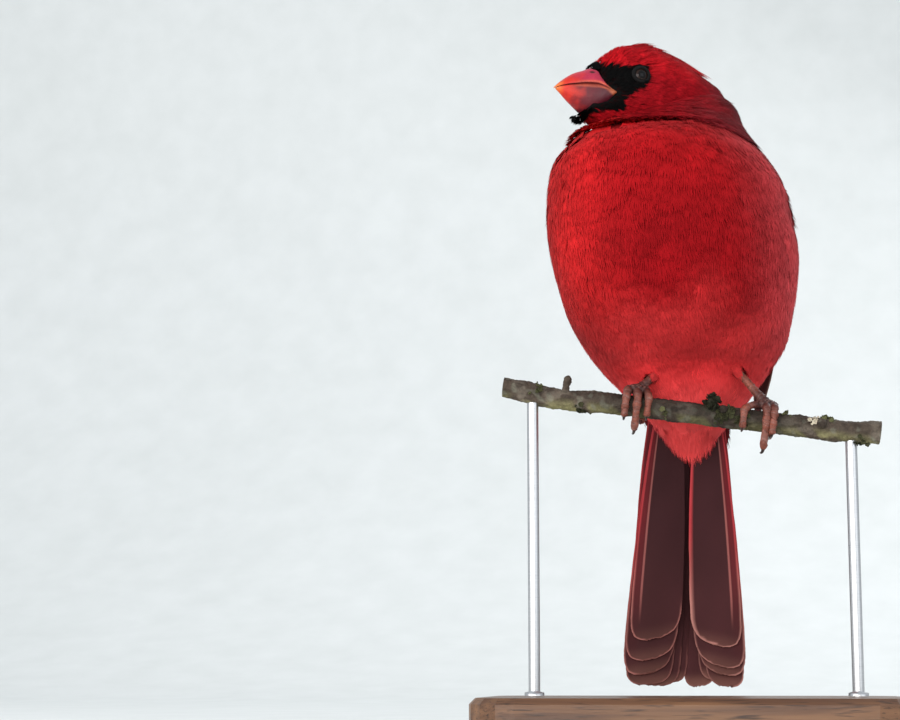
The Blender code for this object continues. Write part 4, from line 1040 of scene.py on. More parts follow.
def near_wing(points):
    """Whether a place on the torso lies under a folded wing: nearest of a grid of places on each wing."""
    hidden = np.zeros(len(points), bool)
    for side in ("right", "left"):
        along, share = np.meshgrid(np.linspace(0.03, 0.97, 40), np.linspace(-0.82, 0.86, 14), indexing="ij")
        across = share * through(WING_HALF_WIDTH, along)[..., 0]
        spots = wing_place(side, along, across)[0].reshape(-1, 3)
        away = np.linalg.norm(points[:, None] - spots[None], axis=-1).min(1)
        hidden |= away < 2.2
    return hidden


def round_body(u, v, u_range):
    """The place of each root on an unwrap of the torso: angle across and height up."""
    return stack(
        0.02 + 0.96 * ((v / (2 * np.pi) + 0.5) % 1), 0.02 + 0.96 * (u - u_range[0]) / (u_range[1] - u_range[0])
    )


def make_body_coat():
    """Feathers of the torso, in three pieces: breast, belly and back."""
    draws = np.random.default_rng(21)
    template = soft_vane(draws, 12, 19, reach=0.40, split=0.22)
    u_range = (-2.5, 98.5)
    u, v = scatter(torso, u_range, (-np.pi, np.pi), 2.55, draws)
    keep = ~near_wing(torso(u, v))
    u, v = u[keep], v[keep]
    size = 1 - 0.50 * ramp(18.0, 2.0, u)
    length = 15.0 * size * draws.uniform(0.88, 1.12, len(u))
    width = 3.9 * size * draws.uniform(0.85, 1.15, len(u))
    turn = 0.16 * blotches(torso(u, v), 30.0, 31) + draws.normal(0, 0.09, len(u))
    lines = lay(torso, u, v, turn, length)
    bake = round_body(u, v, u_range)
    front = np.abs(wrapped(v)) < math.radians(105)
    for name, chosen, slot in (
        ("breast_feathers", front & (u > 52), "breast_feathers"),
        ("belly_feathers", front & (u <= 52), "breast_feathers"),
        ("back_feathers", ~front, "back_feathers"),
    ):
        own = [line[chosen] for line in lines]
        part = feathers(own, template, width[chosen], body_lift(2.4), draws, bake[chosen])
        parts = [shade(part, body_colour, draws, 0.05, 0.58)]
        if name == "breast_feathers":
            u2, v2 = scatter(neck, (0.0, 11.0), (0, 2 * np.pi), 2.0, draws)
            ahead = wrapped(v2 + np.pi - HEAD_TURN)
            u2, v2 = u2[(ahead > -1.1) & (ahead < 2.0)], v2[(ahead > -1.1) & (ahead < 2.0)]
            long = 13.0 * draws.uniform(0.85, 1.1, len(u2))
            bake2 = stack(0.02 + 0.96 * v2 / (2 * np.pi), 0.975 + 0.002 * u2)
            top = feathers(
                lay(neck, u2, v2, draws.normal(0, 0.09, len(u2)), long, 8),
                template,
                3.4,
                body_lift(2.6, -0.3),
                draws,
                bake2,
            )
            parts.append(shade(top, body_colour, draws))
        dress(name, parts, SOFT, slot)


def make_head_coat():
    """Feathers of the head, smallest round the bill and eyes, with bristles that point over the bill's base."""
    draws = np.random.default_rng(22)
    template = soft_vane(draws, 10, 9, reach=0.48, split=0.22)
    u_range = (-38.0, 14.1)
    u, v = scatter(head, u_range, (-np.pi, np.pi), 1.05, draws)
    f, left, up = np.moveaxis(to_head(head(u, v)), -1, 0)
    at_eye = np.hypot(f, up) < EYE_OPENING
    keep = (NECK_PLANE_RISE * f + up + NECK_PLANE_DROP > -2.5) & ~(at_eye & (np.abs(left) > 8))
    keep &= depth_inside(BILL_EDGE, f, up) < 0.1
    u, v, f, up = u[keep], v[keep], f[keep], up[keep]
    size = mix(0.55, 1.0, ramp(13.0, -14.0, f)) * mix(1.0, 1.25, ramp(2.0, 12.0, up) * ramp(4.0, -10.0, f))
    length = 6.6 * size * draws.uniform(0.85, 1.15, len(u))
    width = 1.0 * size * draws.uniform(0.8, 1.15, len(u))
    side = np.sign(np.sin(v))
    turn = side * 0.30 * ramp(8.0, -14.0, up) * ramp(10.0, -20.0, f) + draws.normal(0, 0.09, len(u))
    lines = lay(head, u, v, turn, length)
    bake = stack(0.02 + 0.96 * ((v / (2 * np.pi) + 0.5) % 1), 0.02 + 0.94 * (u - u_range[0]) / 52.2)
    part = feathers(lines, template, width, body_lift(1.3, 0.1), draws, bake)
    crown = shade(part, head_colour, draws, 0.12, 0.35, (-0.1, 0.5))

    bristle = soft_vane(draws, 6, 9, reach=0.6, split=0.2)
    count = 560
    v = draws.uniform(-np.pi, np.pi, count)
    u = np.where(np.abs(v) < 1.2, draws.uniform(12.8, 13.9, count), draws.uniform(11.5, 13.6, count))
    start = to_head(head(u, v))
    keep = (depth_inside(BILL_EDGE, start[:, 0], start[:, 2]) < 0.1) & (
        (start[:, 2] > 2.4) | (start[:, 2] < -12.6)
    )
    start, v = start[keep], v[keep]
    chin = start[:, 2] < 0
    share = np.linspace(0, 1, 6)[None, :, None]
    long = (draws.uniform(1.0, 1.9, len(start)) * np.where(chin, 1.7, 1.0))[:, None, None]
    slope = np.where(chin, -0.9, -0.8)
    way = unit(stack(1.0, 0.1 * np.sign(-start[:, 1]), slope) + draws.normal(0, 0.10, (len(v), 3)))
    out = unit(start * np.array([0.0, 1.0, 1.0]) * np.where(chin, 1.0, 1.6)[:, None])
    points = start[:, None] - out[:, None] * 0.25 + way[:, None] * long * share
    lines = straight_lines(
        from_head(points), np.broadcast_to((out @ HEAD_AXES.T)[:, None], points.shape), long[:, 0, 0]
    )
    bake = stack(0.02 + 0.96 * ((v / (2 * np.pi) + 0.5) % 1), 0.985)
    tuft = shade(feathers(lines, bristle, 0.55, lambda s: 0.1 + 0 * s, draws, bake), head_colour, draws, 0.1)
    tuft["colour"] = np.broadcast_to(np.array(MASK_BLACK), tuft["colour"].shape) * (
        0.8 + 0.5 * tuft["tone"][..., None]
    )
    dress("head_feathers", [crown, tuft], SLEEK, "head_feathers")


def make_neck_coat():
    """The hood: strands that sweep back and down from cheek to nape and end in one edge over the breast."""
    draws = np.random.default_rng(29)
    template = soft_vane(draws, 8, 13, reach=0.5, split=0.3)
    u, v = scatter(neck, (-2.0, 22.0), (0, 2 * np.pi), 1.25, draws)
    on_torso = wrapped(v + np.pi - HEAD_TURN)
    edge = -0.5 - 16.0 * ramp(0.2, 1.6, on_torso) - 6.0 * ramp(-1.9, -2.7, on_torso)
    way = np.linspace(0, 1, 9)
    path = neck(u[:, None] + (edge - u)[:, None] * way, np.repeat(v[:, None], 9, axis=1))
    room = np.linalg.norm(np.diff(path, axis=1), axis=-1).sum(-1) * np.sign(u - edge)
    sweep = -0.95 * np.sin(v) * ramp(-1.0, -8.0, edge - 4.0)
    turn = sweep + draws.normal(0, 0.10, len(u))
    length = np.clip(room / np.cos(turn) + draws.normal(0, 0.25, len(u)), 4.0, 11.0)
    keep = room > 1.5
    u, v, turn, length, on_torso = u[keep], v[keep], turn[keep], length[keep], on_torso[keep]
    lines = lay(neck, u, v, turn, length, 7)
    bake = stack(0.02 + 0.96 * v / (2 * np.pi), 0.02 + 0.9 * (u + 2.0) / 24.0)
    part = feathers(lines, template, 1.5 * draws.uniform(0.8, 1.15, len(u)), body_lift(1.9, 0.45), draws, bake)

    def hood_colour(p):
        behind = ramp(102.0, 90.0, p[..., 2] - PERCH_HEIGHT) * ramp(-14.0, 6.0, p[..., 1])
        # Painted light: the throat on the bird's right side takes the breast's lit red
        throat = ramp(-18.0, -28.0, p[..., 0]) * ramp(106.0, 99.0, p[..., 2] - PERCH_HEIGHT)
        return mix(mix(head_colour(p), body_colour(p) * 0.85, behind * 0.85), LIT_SIDE_RED, throat)

    dress("neck_feathers", [shade(part, hood_colour, draws, 0.18, 0.3, (0.0, 0.7))], SLEEK, "head_feathers")


def straight_lines(points, normal, length):
    """Centre lines given point by point: (feathers, steps, 3) with a normal for each."""
    course = unit(np.gradient(points, axis=1))
    normal = unit(normal - course * dot(course, normal))
    return points, np.cross(course, normal), normal, np.broadcast_to(length, len(points))


def make_crest():
    """Crest feathers laid back over the crown, longest along the middle, with loose pointed tips."""
    draws = np.random.default_rng(23)
    template = soft_vane(draws, 8, 11, reach=0.5, split=0.35)
    count = 150
    root_f = draws.uniform(-16.0, 5.0, count)
    left = draws.uniform(-1, 1, count) * (6.6 + 0.1 * (5 - root_f))
    length = (15.0 + 8.0 * ramp(5.0, -8.0, root_f)) * draws.uniform(0.8, 1.05, count)
    length = np.minimum(length, (root_f + 30.5) * 1.0)
    share = np.linspace(0, 1, 7)
    f = root_f[:, None] - length[:, None] * share
    sideways = left[:, None] * (1 + 0.1 * share - 0.35 * share**2)
    half, top, bottom = np.moveaxis(through(HEAD, f), -1, 0)
    dome = np.sqrt(np.clip(1 - (sideways / half) ** 2, 0.05, 1))
    middle = (top + bottom) / 2
    up = middle + (top - middle) * dome
    rise = np.maximum(0.6 + 1.3 * share**2 * draws.uniform(0.2, 1.0, (count, 1)), 0.0)
    points = from_head(stack(f, sideways, up))
    out = stack(0.0, sideways / half * 1.6, dome) @ HEAD_AXES.T
    lines = straight_lines(points + unit(out) * rise[..., None], unit(out), length)
    bake = stack(0.5 + left / 22, 0.5 + root_f / 30)
    part = feathers(lines, template, 1.7 * draws.uniform(0.8, 1.2, count), body_lift(1.0), draws, bake)
    dress(
        "crest_feathers",
        [shade(part, head_colour, draws, 0.14, fade=(-0.1, 0.4))],
        SLEEK,
        "head_feathers",
        ("crest",),
    )


def covert_fan(draws, sign, tiers):
    """Centre lines of tail coverts on the tail's underside (-1) or upper side (+1).

    Each tier: how many, root and tip as distances down the tail and out from it, and the spread of both.
    """
    down, left, upper = tail_frame()
    sets = []
    for count, root, tip, spread in tiers:
        place = np.linspace(-1, 1, count) + draws.normal(0, 0.03, count)
        share = np.linspace(0, 1, 8)[None]
        across = place[:, None]
        along = root[0] + (tip[0] - root[0]) * (1 - 0.16 * across**2) * share
        lifted = (root[1] + (tip[1] - root[1]) * share) * (1 - 0.2 * across**2)
        sideways = (
            across * (spread[0] + (spread[1] - spread[0]) * share)
            + (1.9 if sign < 0 else 0.0) * share**2 * root[0] / 10.0
        )
        points = (
            TAIL_ROOT + along[..., None] * down + sideways[..., None] * left
            + (lifted * sign)[..., None] * upper
        )
        length = np.linalg.norm(points[:, -1] - points[:, 0], axis=1)
        normal = unit(upper * sign + left * 0.3 * across[..., None])
        sets.append((points, np.broadcast_to(normal, points.shape), length))
    return straight_lines(*(np.concatenate([part[k] for part in sets]) for k in range(3)))


def make_coverts():
    """The under and upper tail coverts, longer and firmer than the body's feathers."""
    draws = np.random.default_rng(24)
    template = soft_vane(draws, 10, 27, reach=0.42, split=0.25)
    under = covert_fan(draws, -1.0, (
        (13, (0.0, 25.0), (12.5, 18.0), (15.5, 10.5)),
        (13, (2.0, 22.4), (16.5, 12.5), (14.0, 9.4)),
        (13, (4.0, 20.0), (19.5, 8.4), (12.0, 8.6)),
        (12, (6.0, 17.8), (22.2, 5.6), (10.0, 6.9)),
        (11, (8.0, 15.4), (24.0, 4.4), (8.6, 6.4)),
        (9, (9.0, 13.6), (25.0, 3.8), (7.0, 5.3)),
        (7, (10.0, 12.0), (25.8, 3.4), (5.0, 3.8)),
    ))
    over = covert_fan(draws, 1.0, (
        (9, (-6.0, 10.5), (14.0, 9.0), (15.0, 14.0)),
        (9, (0.0, 9.6), (20.0, 7.4), (12.5, 12.5)),
        (8, (5.0, 8.6), (27.0, 5.6), (10.0, 11.0)),
        (7, (9.0, 7.4), (33.0, 4.4), (7.0, 8.5)),
        (4, (13.0, 6.0), (37.0, 3.6), (3.5, 4.0)),
    ))
    for name, lines, width, marking, node_name, slot in (
        ("undertail_feathers", under, 2.7, vent_colour, "undertail_coverts", "undertail_feathers"),
        ("uppertail_feathers", over, 4.3, body_colour, "uppertail_coverts", "back_feathers"),
    ):
        count = len(lines[0])
        root = lines[0][:, 0]
        bake = 0.5 + stack(root[:, 0] - TAIL_ROOT[0], root[:, 2] - TAIL_ROOT[2]) / 90.0
        part = feathers(lines, template, width * draws.uniform(0.9, 1.1, count), body_lift(0.8), draws, bake)
        dress(name, [shade(part, marking, draws, 0.06, 0.8)], SOFT, slot, (node_name,))


def make_thighs():
    """Short feathers round each upper leg."""
    draws = np.random.default_rng(25)
    template = soft_vane(draws, 6, 9)
    parts = []
    for side in ("right", "left"):
        surface = thigh(side)
        u, v = scatter(surface, (0.6, 17.0), (0, 2 * np.pi), 1.5, draws)
        lines = lay(surface, u, v, draws.normal(0, 0.15, len(u)), 5.0 * draws.uniform(0.8, 1.2, len(u)))
        bake = stack((0.02 if side == "right" else 0.52) + 0.45 * v / (2 * np.pi), 0.05 + u / 20.0 * 0.9)
        part = feathers(lines, template, 1.5, body_lift(0.8), draws, bake)
        part["normal"] = unit(part["normal"] * 0.3 + np.array([0.0, -0.8, -0.12]))
        # Painted shade: the thigh feathers take the body's markings painted darker, for the shade under the
        # belly
        parts.append(shade(part, lambda p: body_colour(p) * 0.62, draws))
    dress("thigh_feathers", parts, SOFT, "breast_feathers")


def make_tail():
    """Twelve tail feathers, six a side, the outermost shortest and lowest, with shaft, dark web and pale rim.

    The distance to a feather's edge is the width left at that share, divided by the slope of its outline.
    """
    draws = np.random.default_rng(26)
    down, left, upper = tail_frame()
    tip = ((0.87, 1.0), (0.93, 0.97), (0.962, 0.87), (0.984, 0.69), (0.995, 0.46), (1.0, 0.26))
    square_tip = ((0.9, 1.0), (0.95, 0.96), (0.975, 0.86), (0.99, 0.68), (0.997, 0.5), (1.0, 0.34))
    outer_outline = ((0, 0.36), (0.12, 0.54), (0.4, 0.82), (0.7, 0.97), *tip)
    inner_outline = ((0, 0.66), (0.12, 0.84), (0.25, 0.95), (0.5, 1.0), *square_tip)
    rows = np.concatenate([np.linspace(0, 0.86, 26), np.linspace(0.875, 1.0, 20)])
    parts = []
    for sign in (-1.0, 1.0):
        for k, length in enumerate(TAIL_LENGTHS[sign]):
            outline = outer_outline if k < 3 else inner_outline
            half_width = TAIL_HALF_WIDTHS[sign][k]
            shaft = 0.64 - 0.11 * k
            columns = np.unique(np.round(np.concatenate([
                [-1, -0.985, -0.95, -0.9], np.linspace(-0.8, 0.8, 8), [0.9, 0.95, 0.985, 1],
                shaft + np.array([-0.06, -0.02, 0.02, 0.06]),
            ]), 4))
            template = firm_vane(outline, rows, columns, 0.3, draws, 1, 0.0012)
            skew = (0.020, 0.020, 0.016, 0.006, -0.004, -0.012)[k] + 0.006 * draws.random()
            template[0][..., 0] += skew * template[0][..., 1] * ramp(0.72, 1.0, template[0][..., 0])
            template[0][..., 2] -= 0.30 * (template[0][..., 1] - shaft) ** 2
            share = np.linspace(0, 1, 22)
            sideways = sign * (
                TAIL_ROOT_OFFSETS[k] + (TAIL_TIP_OFFSETS[sign][k] - TAIL_ROOT_OFFSETS[k]) * share**1.15
            )
            lifted = (k - 2.5) * TAIL_PITCH + 1.0 * share * (1 - share) + (0.4 if sign > 0 and k > 2 else 0.0)
            points = (
                TAIL_ROOT + np.outer(0.6 + share * length, down) + np.outer(sideways, left)
                + np.outer(lifted, upper)
            )
            lines = straight_lines(points[None], np.broadcast_to(-upper, points[None].shape), [length])
            lines = (lines[0], np.broadcast_to(left * sign, points[None].shape), lines[2], lines[3])
            bake = np.array([[0.08 + 0.07 * (k + (6 if sign > 0 else 0)), 0.5]])
            part = feathers(lines, template, half_width, lambda s: 0 * s, draws, bake, 0.0, 0.06)
            part["faces"] = outward(part["points"][0], part["faces"])
            points_each = part["share"].shape[1]
            above = np.arange(points_each) >= points_each // 2
            part["normal"] *= np.where(above, -1.0, 1.0)[None, :, None]
            s = np.clip(part["share"] - skew * part["across"] * ramp(0.72, 1.0, part["share"]), 0, 1)
            width = np.maximum(through(outline, s)[..., 0], 0.05)
            slope = (
                (through(outline, s + 0.004)[..., 0] - through(outline, s - 0.004)[..., 0]) / 0.008 * half_width
                / length
            )
            x = np.clip(part["across"] / width, -1, 1)
            to_edge = (1 - np.abs(x)) * half_width * width / np.sqrt(1 + slope**2)
            to_edge = np.minimum(to_edge, (1 - s) * length)
            web = mix(WEB_DARK, WEB_RED, ramp(shaft - 0.02, shaft + 0.10, x) * ramp(1.0, 0.8, s))
            web = mix(web, TAIL_WORN, ramp(0.45, 0.95, s) * 0.7)
            web = mix(web, TAIL_TIP_BROWN, ramp(6.0, 0.5, (1 - s) * length) * (0.35 + 0.1 * k))
            web = mix(
                web,
                SHAFT_PINK,
                ramp(0.06, 0.015, np.abs(x - shaft)) * ramp(0.94, 0.80, s) * (0.85 if k == 0 else 0.4),
            )
            rim = mix(TAIL_EDGE_RED, RIM_PALE, ramp(0.5, 0.92, s) * (0.7 if sign < 0 else 0.85))
            inner = ramp(0.84, 0.93, s) * (0.9 if k < 2 else 0.55)
            if k == 0 and sign > 0:
                inner = np.ones(s.shape)
            broad = 1.0 + np.where((x < 0) & (k == 0) & (sign > 0), 1.1, 0.0)
            line = ramp(0.62, 0.25, to_edge / broad) * np.where(x > 0, 1.0, inner) * ramp(0.0, 0.06, s)
            web = mix(web, rim, line * (0.85 - 0.06 * k))
            web = mix(web, TAIL_UPPER_RED, above[None] * (0.65 if k > 3 else 0.45) * (1 - line))
            part["colour"] = (
                web * (1.18 if sign > 0 else 1.0)
                * (1 + 0.10 * blotches(part["points"], 18.0, 40 + k))[..., None]
            )
            parts.append(part)
    dress("tail_feathers", parts, FIRM, "tail_feathers", ("tail",), False)


def make_wing(side):
    """The folded wing: tiers of coverts over secondaries and primaries, then small feathers on the shoulder.

    Each tier: how many, first and last root, first and last tip, half width, lifts of root and tip.
    """
    draws = np.random.default_rng(27 if side == "left" else 28)
    tiers = (
        (9, ((0.34, -5.5), (0.34, -11.5)), ((0.76, 6.0), (1.0, -2.0)), 3.5, (-1.0, -1.0), (-0.5, -0.9), 0.25),
        (8, ((0.34, 8.5), (0.36, -4.5)), ((0.66, 10.5), (0.75, 1.0)), 3.7, (-0.9, -0.9), (0.7, 0.2), 0.45),
        (3, ((0.30, 14.0), (0.30, 9.5)), ((0.54, 14.5), (0.66, 11.5)), 4.3, (-0.7, -0.7), (1.6, 1.1), 0.6),
        (5, ((0.24, -12.5), (0.24, -7.5)), ((0.48, -12.5), (0.45, -7.0)), 2.6, (-0.9, -0.9), (0.3, 0.6), 0.5),
        (9, ((0.22, -7.0), (0.22, 12.0)), ((0.43, -5.0), (0.44, 13.5)), 3.3, (-0.7, -0.7), (1.1, 1.3), 0.7),
        (8, ((0.12, -8.0), (0.12, 10.5)), ((0.28, -8.0), (0.30, 12.0)), 3.2, (-0.6, -0.6), (1.2, 1.4), 0.8),
        (2, ((0.12, -11.5), (0.14, -11.0)), ((0.33, -14.0), (0.36, -12.4)), 2.2, (-0.9, -0.9), (0.4, 0.2), 0.4),
    )
    outline = ((0, 0.5), (0.3, 0.85), (0.6, 1.0), (0.82, 0.94), (0.92, 0.74), (0.97, 0.48), (1.0, 0.12))
    rows = np.array([0, 0.12, 0.26, 0.4, 0.54, 0.66, 0.76, 0.84, 0.9, 0.94, 0.97, 0.987, 1.0])
    columns = np.array([-1, -0.9, -0.72, -0.5, -0.34, -0.28, -0.22, 0, 0.35, 0.7, 0.9, 1.0])
    template = firm_vane(outline, rows, columns, 0.26, draws, 6)
    parts = []
    sign = 1.0 if side == "left" else -1.0
    for count, roots, tips, half_width, low, high, red in tiers:
        order = np.linspace(0, 1, count)[:, None]
        root = np.array(roots[0]) * (1 - order) + np.array(roots[1]) * order
        tip = (
            np.array(tips[0]) * (1 - order) + np.array(tips[1]) * order
            + draws.normal(0, (0.004, 0.25), (count, 2))
        )
        share = np.linspace(0, 1, 9)
        along = root[:, :1] + (tip - root)[:, :1] * share
        across = root[:, 1:] + (tip - root)[:, 1:] * share
        start, end = (pair[0] + (pair[1] - pair[0]) * order for pair in (low, high))
        place, normal = wing_place(side, along, across)
        points = place + normal * (start + (end - start) * share)[..., None]
        length = np.linalg.norm(points[:, -1] - points[:, 0], axis=1)
        lines = straight_lines(points, normal, length)
        tilted = unit(lines[1] * sign + normal * 0.09)
        lines = (lines[0], tilted * -1.0 * np.sign(dot(tilted, lines[1])) * sign, lines[2], lines[3])
        bake = stack(0.5 + root[:, 1] / 50.0, 0.1 + root[:, 0] * 1.8)
        part = feathers(
            lines, template, half_width * draws.uniform(0.95, 1.05, count), lambda s: 0 * s, draws, bake, 0.15
        )
        s = part["share"]
        x = part["across"] / np.maximum(through(outline, np.clip(s, 0, 1))[..., 0], 0.1)
        web = mix(WING_DARK, WING_RED, red * ramp(1.1, -0.4, np.abs(x)))
        rim = mix(WING_EDGE_RED, WING_EDGE_PALE, ramp(0.35, 0.75, s) * (half_width < 3.55) * (low[0] < -0.95))
        web = mix(web, rim, ramp(0.72, 0.97, np.abs(x)) * 0.8)
        web = mix(web, WING_TIP_WORN, ramp(0.955, 1.0, s) * (0.7 if red < 0.3 else 0.35))
        web = mix(web, WING_SHAFT, ramp(0.10, 0.03, np.abs(x + 0.28)) * ramp(0.95, 0.8, s) * 0.8)
        part["colour"] = web * draws.normal(1.0, 0.08, (count, 1, 1))
        parts.append(part)
    soft = soft_vane(draws, 6, 11)
    along, across = np.meshgrid(np.linspace(-0.01, 0.20, 11), np.linspace(-1, 1, 15), indexing="ij")
    along = (along + draws.normal(0, 0.012, along.shape)).ravel()
    across = (
        (across.ravel() + draws.normal(0, 0.04, along.size)) * 0.92
        * through(WING_HALF_WIDTH, np.maximum(along, 0.02))[..., 0]
    )
    share = np.linspace(0, 1, 6)
    long = 0.075 + 0.02 * draws.random(along.size)
    place, normal = wing_place(
        side, along[:, None] + long[:, None] * share, across[:, None] * (1 + 0.1 * share)
    )
    points = place + normal * (0.3 + 1.2 * share)[:, None]
    lines = straight_lines(points, normal, long * 88.0)
    bake = stack(0.5 + across / 50.0, 0.06 + along * 0.8)
    small = feathers(lines, soft, 2.2, lambda s: 0 * s, draws, bake)
    parts.append(shade(small, lambda p: mix(body_colour(p), SHOULDER_RED, np.full(len(p), 0.6)), draws, 0.1))
    dress("wing_" + side + "_feathers", parts, FIRM, "wing_feathers", ("wing_" + side,), False)


# Skin
def make_skin():
    """One skin for torso, neck, head, thighs and the roots of the coverts, under the coat by its depth.

    The same surfaces, drawn in along their normals, are joined and remeshed into one closed skin.
    """
    def drawn(surface, u, v, depth):
        u, v = np.meshgrid(u, v, indexing="ij")
        place, normal, _, _ = touch(surface, u, v)
        return loft(place - normal * depth)

    around = np.linspace(-np.pi, np.pi, 72, endpoint=False)
    low_to_high = np.linspace(-5.0, 96.5, 84)
    bodies = [
        drawn(torso, low_to_high, around, (2.3 + 3.5 * ramp(7.0, -5.0, low_to_high))[:, None, None]),
        drawn(neck, np.linspace(-8.0, 24.0, 16), around + np.pi, 1.9),
        drawn(head, np.linspace(-37.8, 12.6, 60), around, 1.35),
        drawn(thigh("right"), np.linspace(0.3, 19.5, 16), around, 0.7),
        drawn(thigh("left"), np.linspace(0.3, 19.5, 16), around, 0.7),
    ]
    points, triangles = together(bodies)
    made = attribute_finish("skin under the coat", 0.8, 0.1, 300.0, 1500.0, 0.8)
    skin = put(
        "skin",
        points,
        triangles,
        made,
        "breast_feathers",
        ("torso", "neck", "head", "thigh_right", "thigh_left"),
    )
    remesh = skin.modifiers.new("one skin", "REMESH")
    remesh.mode = "VOXEL"
    remesh.voxel_size = 1.1 * MM
    remesh.use_smooth_shade = True
    soften = skin.modifiers.new("soften", "SMOOTH")
    soften.iterations = 4
    evaluated = skin.evaluated_get(bpy.context.evaluated_depsgraph_get())
    mesh = bpy.data.meshes.new_from_object(evaluated)
    skin.modifiers.clear()
    old, skin.data = skin.data, mesh
    bpy.data.meshes.remove(old)
    mesh.materials.clear()
    mesh.materials.append(made)
    co = np.zeros(len(mesh.vertices) * 3, np.float32)
    mesh.vertices.foreach_get("co", co)
    co = co.reshape(-1, 3) / MM
    on_head = ramp(96.0, 100.0, co[:, 2] - PERCH_HEIGHT)
    # Painted shade: the skin takes the coat's markings painted much darker, for the shade deep in the coat
    paint(mesh, mix(body_colour(co), head_colour(co), on_head) * 0.45)
    print("skin", len(mesh.polygons), "faces")


# Bill and eyes
def make_bill():
    """The two halves of the bill: arcs over and under the mouth line, boxy at the gape and round at the tip."""
    coat = {"Coat_Weight": 0.05, "Coat_Roughness": 0.3}
    horn = attribute_finish("bill horn", 0.48, 0.22, 260.0, 1600.0, 0.45, 0.25, 0.0003, (0.25, 0.46), **coat)
    arc = np.linspace(0, np.pi, 45)
    for part, table, gap in (("upper", BILL_UPPER, 0.1), ("lower", BILL_LOWER, -0.1)):
        f = np.concatenate([np.linspace(table[0][0], 24.0, 64), np.linspace(24.2, table[-1][0], 18)])
        width, mouth, peak, box = np.moveaxis(through(table, f), -1, 0)
        edge = mouth + gap
        left = width[:, None] * np.sign(np.cos(arc)) * np.abs(np.cos(arc)) ** np.clip(box, 0.3, 1.0)[:, None]
        up = edge[:, None] + (peak - edge)[:, None] * np.sin(arc) ** 0.9
        flat = np.linspace(-0.94, 0.94, 9)
        inner = stack(f[:, None], width[:, None] * flat, edge[:, None])
        rings = np.concatenate([stack(f[:, None], left, up), inner], axis=1)
        if part == "upper":
            for sign in (-1.0, 1.0):
                near = np.linalg.norm(
                    (rings - np.array([15.2, sign * 5.2, 0.1])) * np.array([0.8, 0.5, 1.5]), axis=-1
                )
                rings[..., 1] -= sign * 0.8 * np.exp(-((near / 0.7) ** 2))
        dents = blotches(rings * np.array([0.5, 1.0, 1.0]), 5.0, 81)
        rings[..., 1] *= 1 + 0.012 * dents
        rings[..., 2] += 0.06 * dents * ramp(27.0, 22.0, rings[..., 0])
        points, triangles = loft(rings)
        forward, out, high = np.moveaxis(points, -1, 0)
        level = np.interp(forward, f, edge)
        base = BILL_CORAL if part == "upper" else BILL_MAROON
        colour = mix(base, BILL_SCARLET, ramp(16.0, 24.0, forward + 1.5 * dents_at(points)))
        colour = mix(colour, BILL_ORANGE, ramp(23.5, 27.0, forward))
        # Painted shade at the bill's base by the feathers, deepest on the lower half
        dull = ramp(17.5, 11.0, forward) * (0.85 if part == "lower" else 0.3)
        colour = mix(colour, BILL_SHADE, dull)
        colour = mix(
            colour,
            MOUTH_PALE,
            ramp(1.3, 0.5, np.abs(high - level)) * ramp(24.0, 17.0, forward) * ramp(9.0, 12.0, forward) * 0.55,
        )
        colour = mix(
            colour, MOUTH_DARK, ramp(0.30, 0.08, np.abs(high - level)) * 0.9 * ramp(26.8, 23.0, forward)
        )
        if part == "upper":
            colour = mix(
                colour,
                CULMEN_PINK,
                ramp(0.6, 1.0, (high - level) / np.maximum(np.interp(forward, f, peak - edge), 0.5)) * 0.35,
            )
            # Painted shade in each nostril's hollow
            near = np.linalg.norm((points - np.array([15.2, 0.0, 0.1])) * np.array([0.8, 0, 1.5]), axis=-1)
            colour = mix(colour, NOSTRIL_DARK, ramp(0.9, 0.4, near) * (np.abs(out) > 2.5))
        corner = ramp(11.6, 9.4, forward) * ramp(1.9, 0.9, np.abs(high - level))
        colour = mix(colour, GAPE_BROWN, corner)
        put(
            "bill_" + part + "_horn", from_head(points), triangles, horn, "bill_horn", ("bill_" + part,), colour
        )


def dents_at(points):
    """Soft uneven growth of the horn, the same for shape and colour."""
    return blotches(points, 4.0, 82)


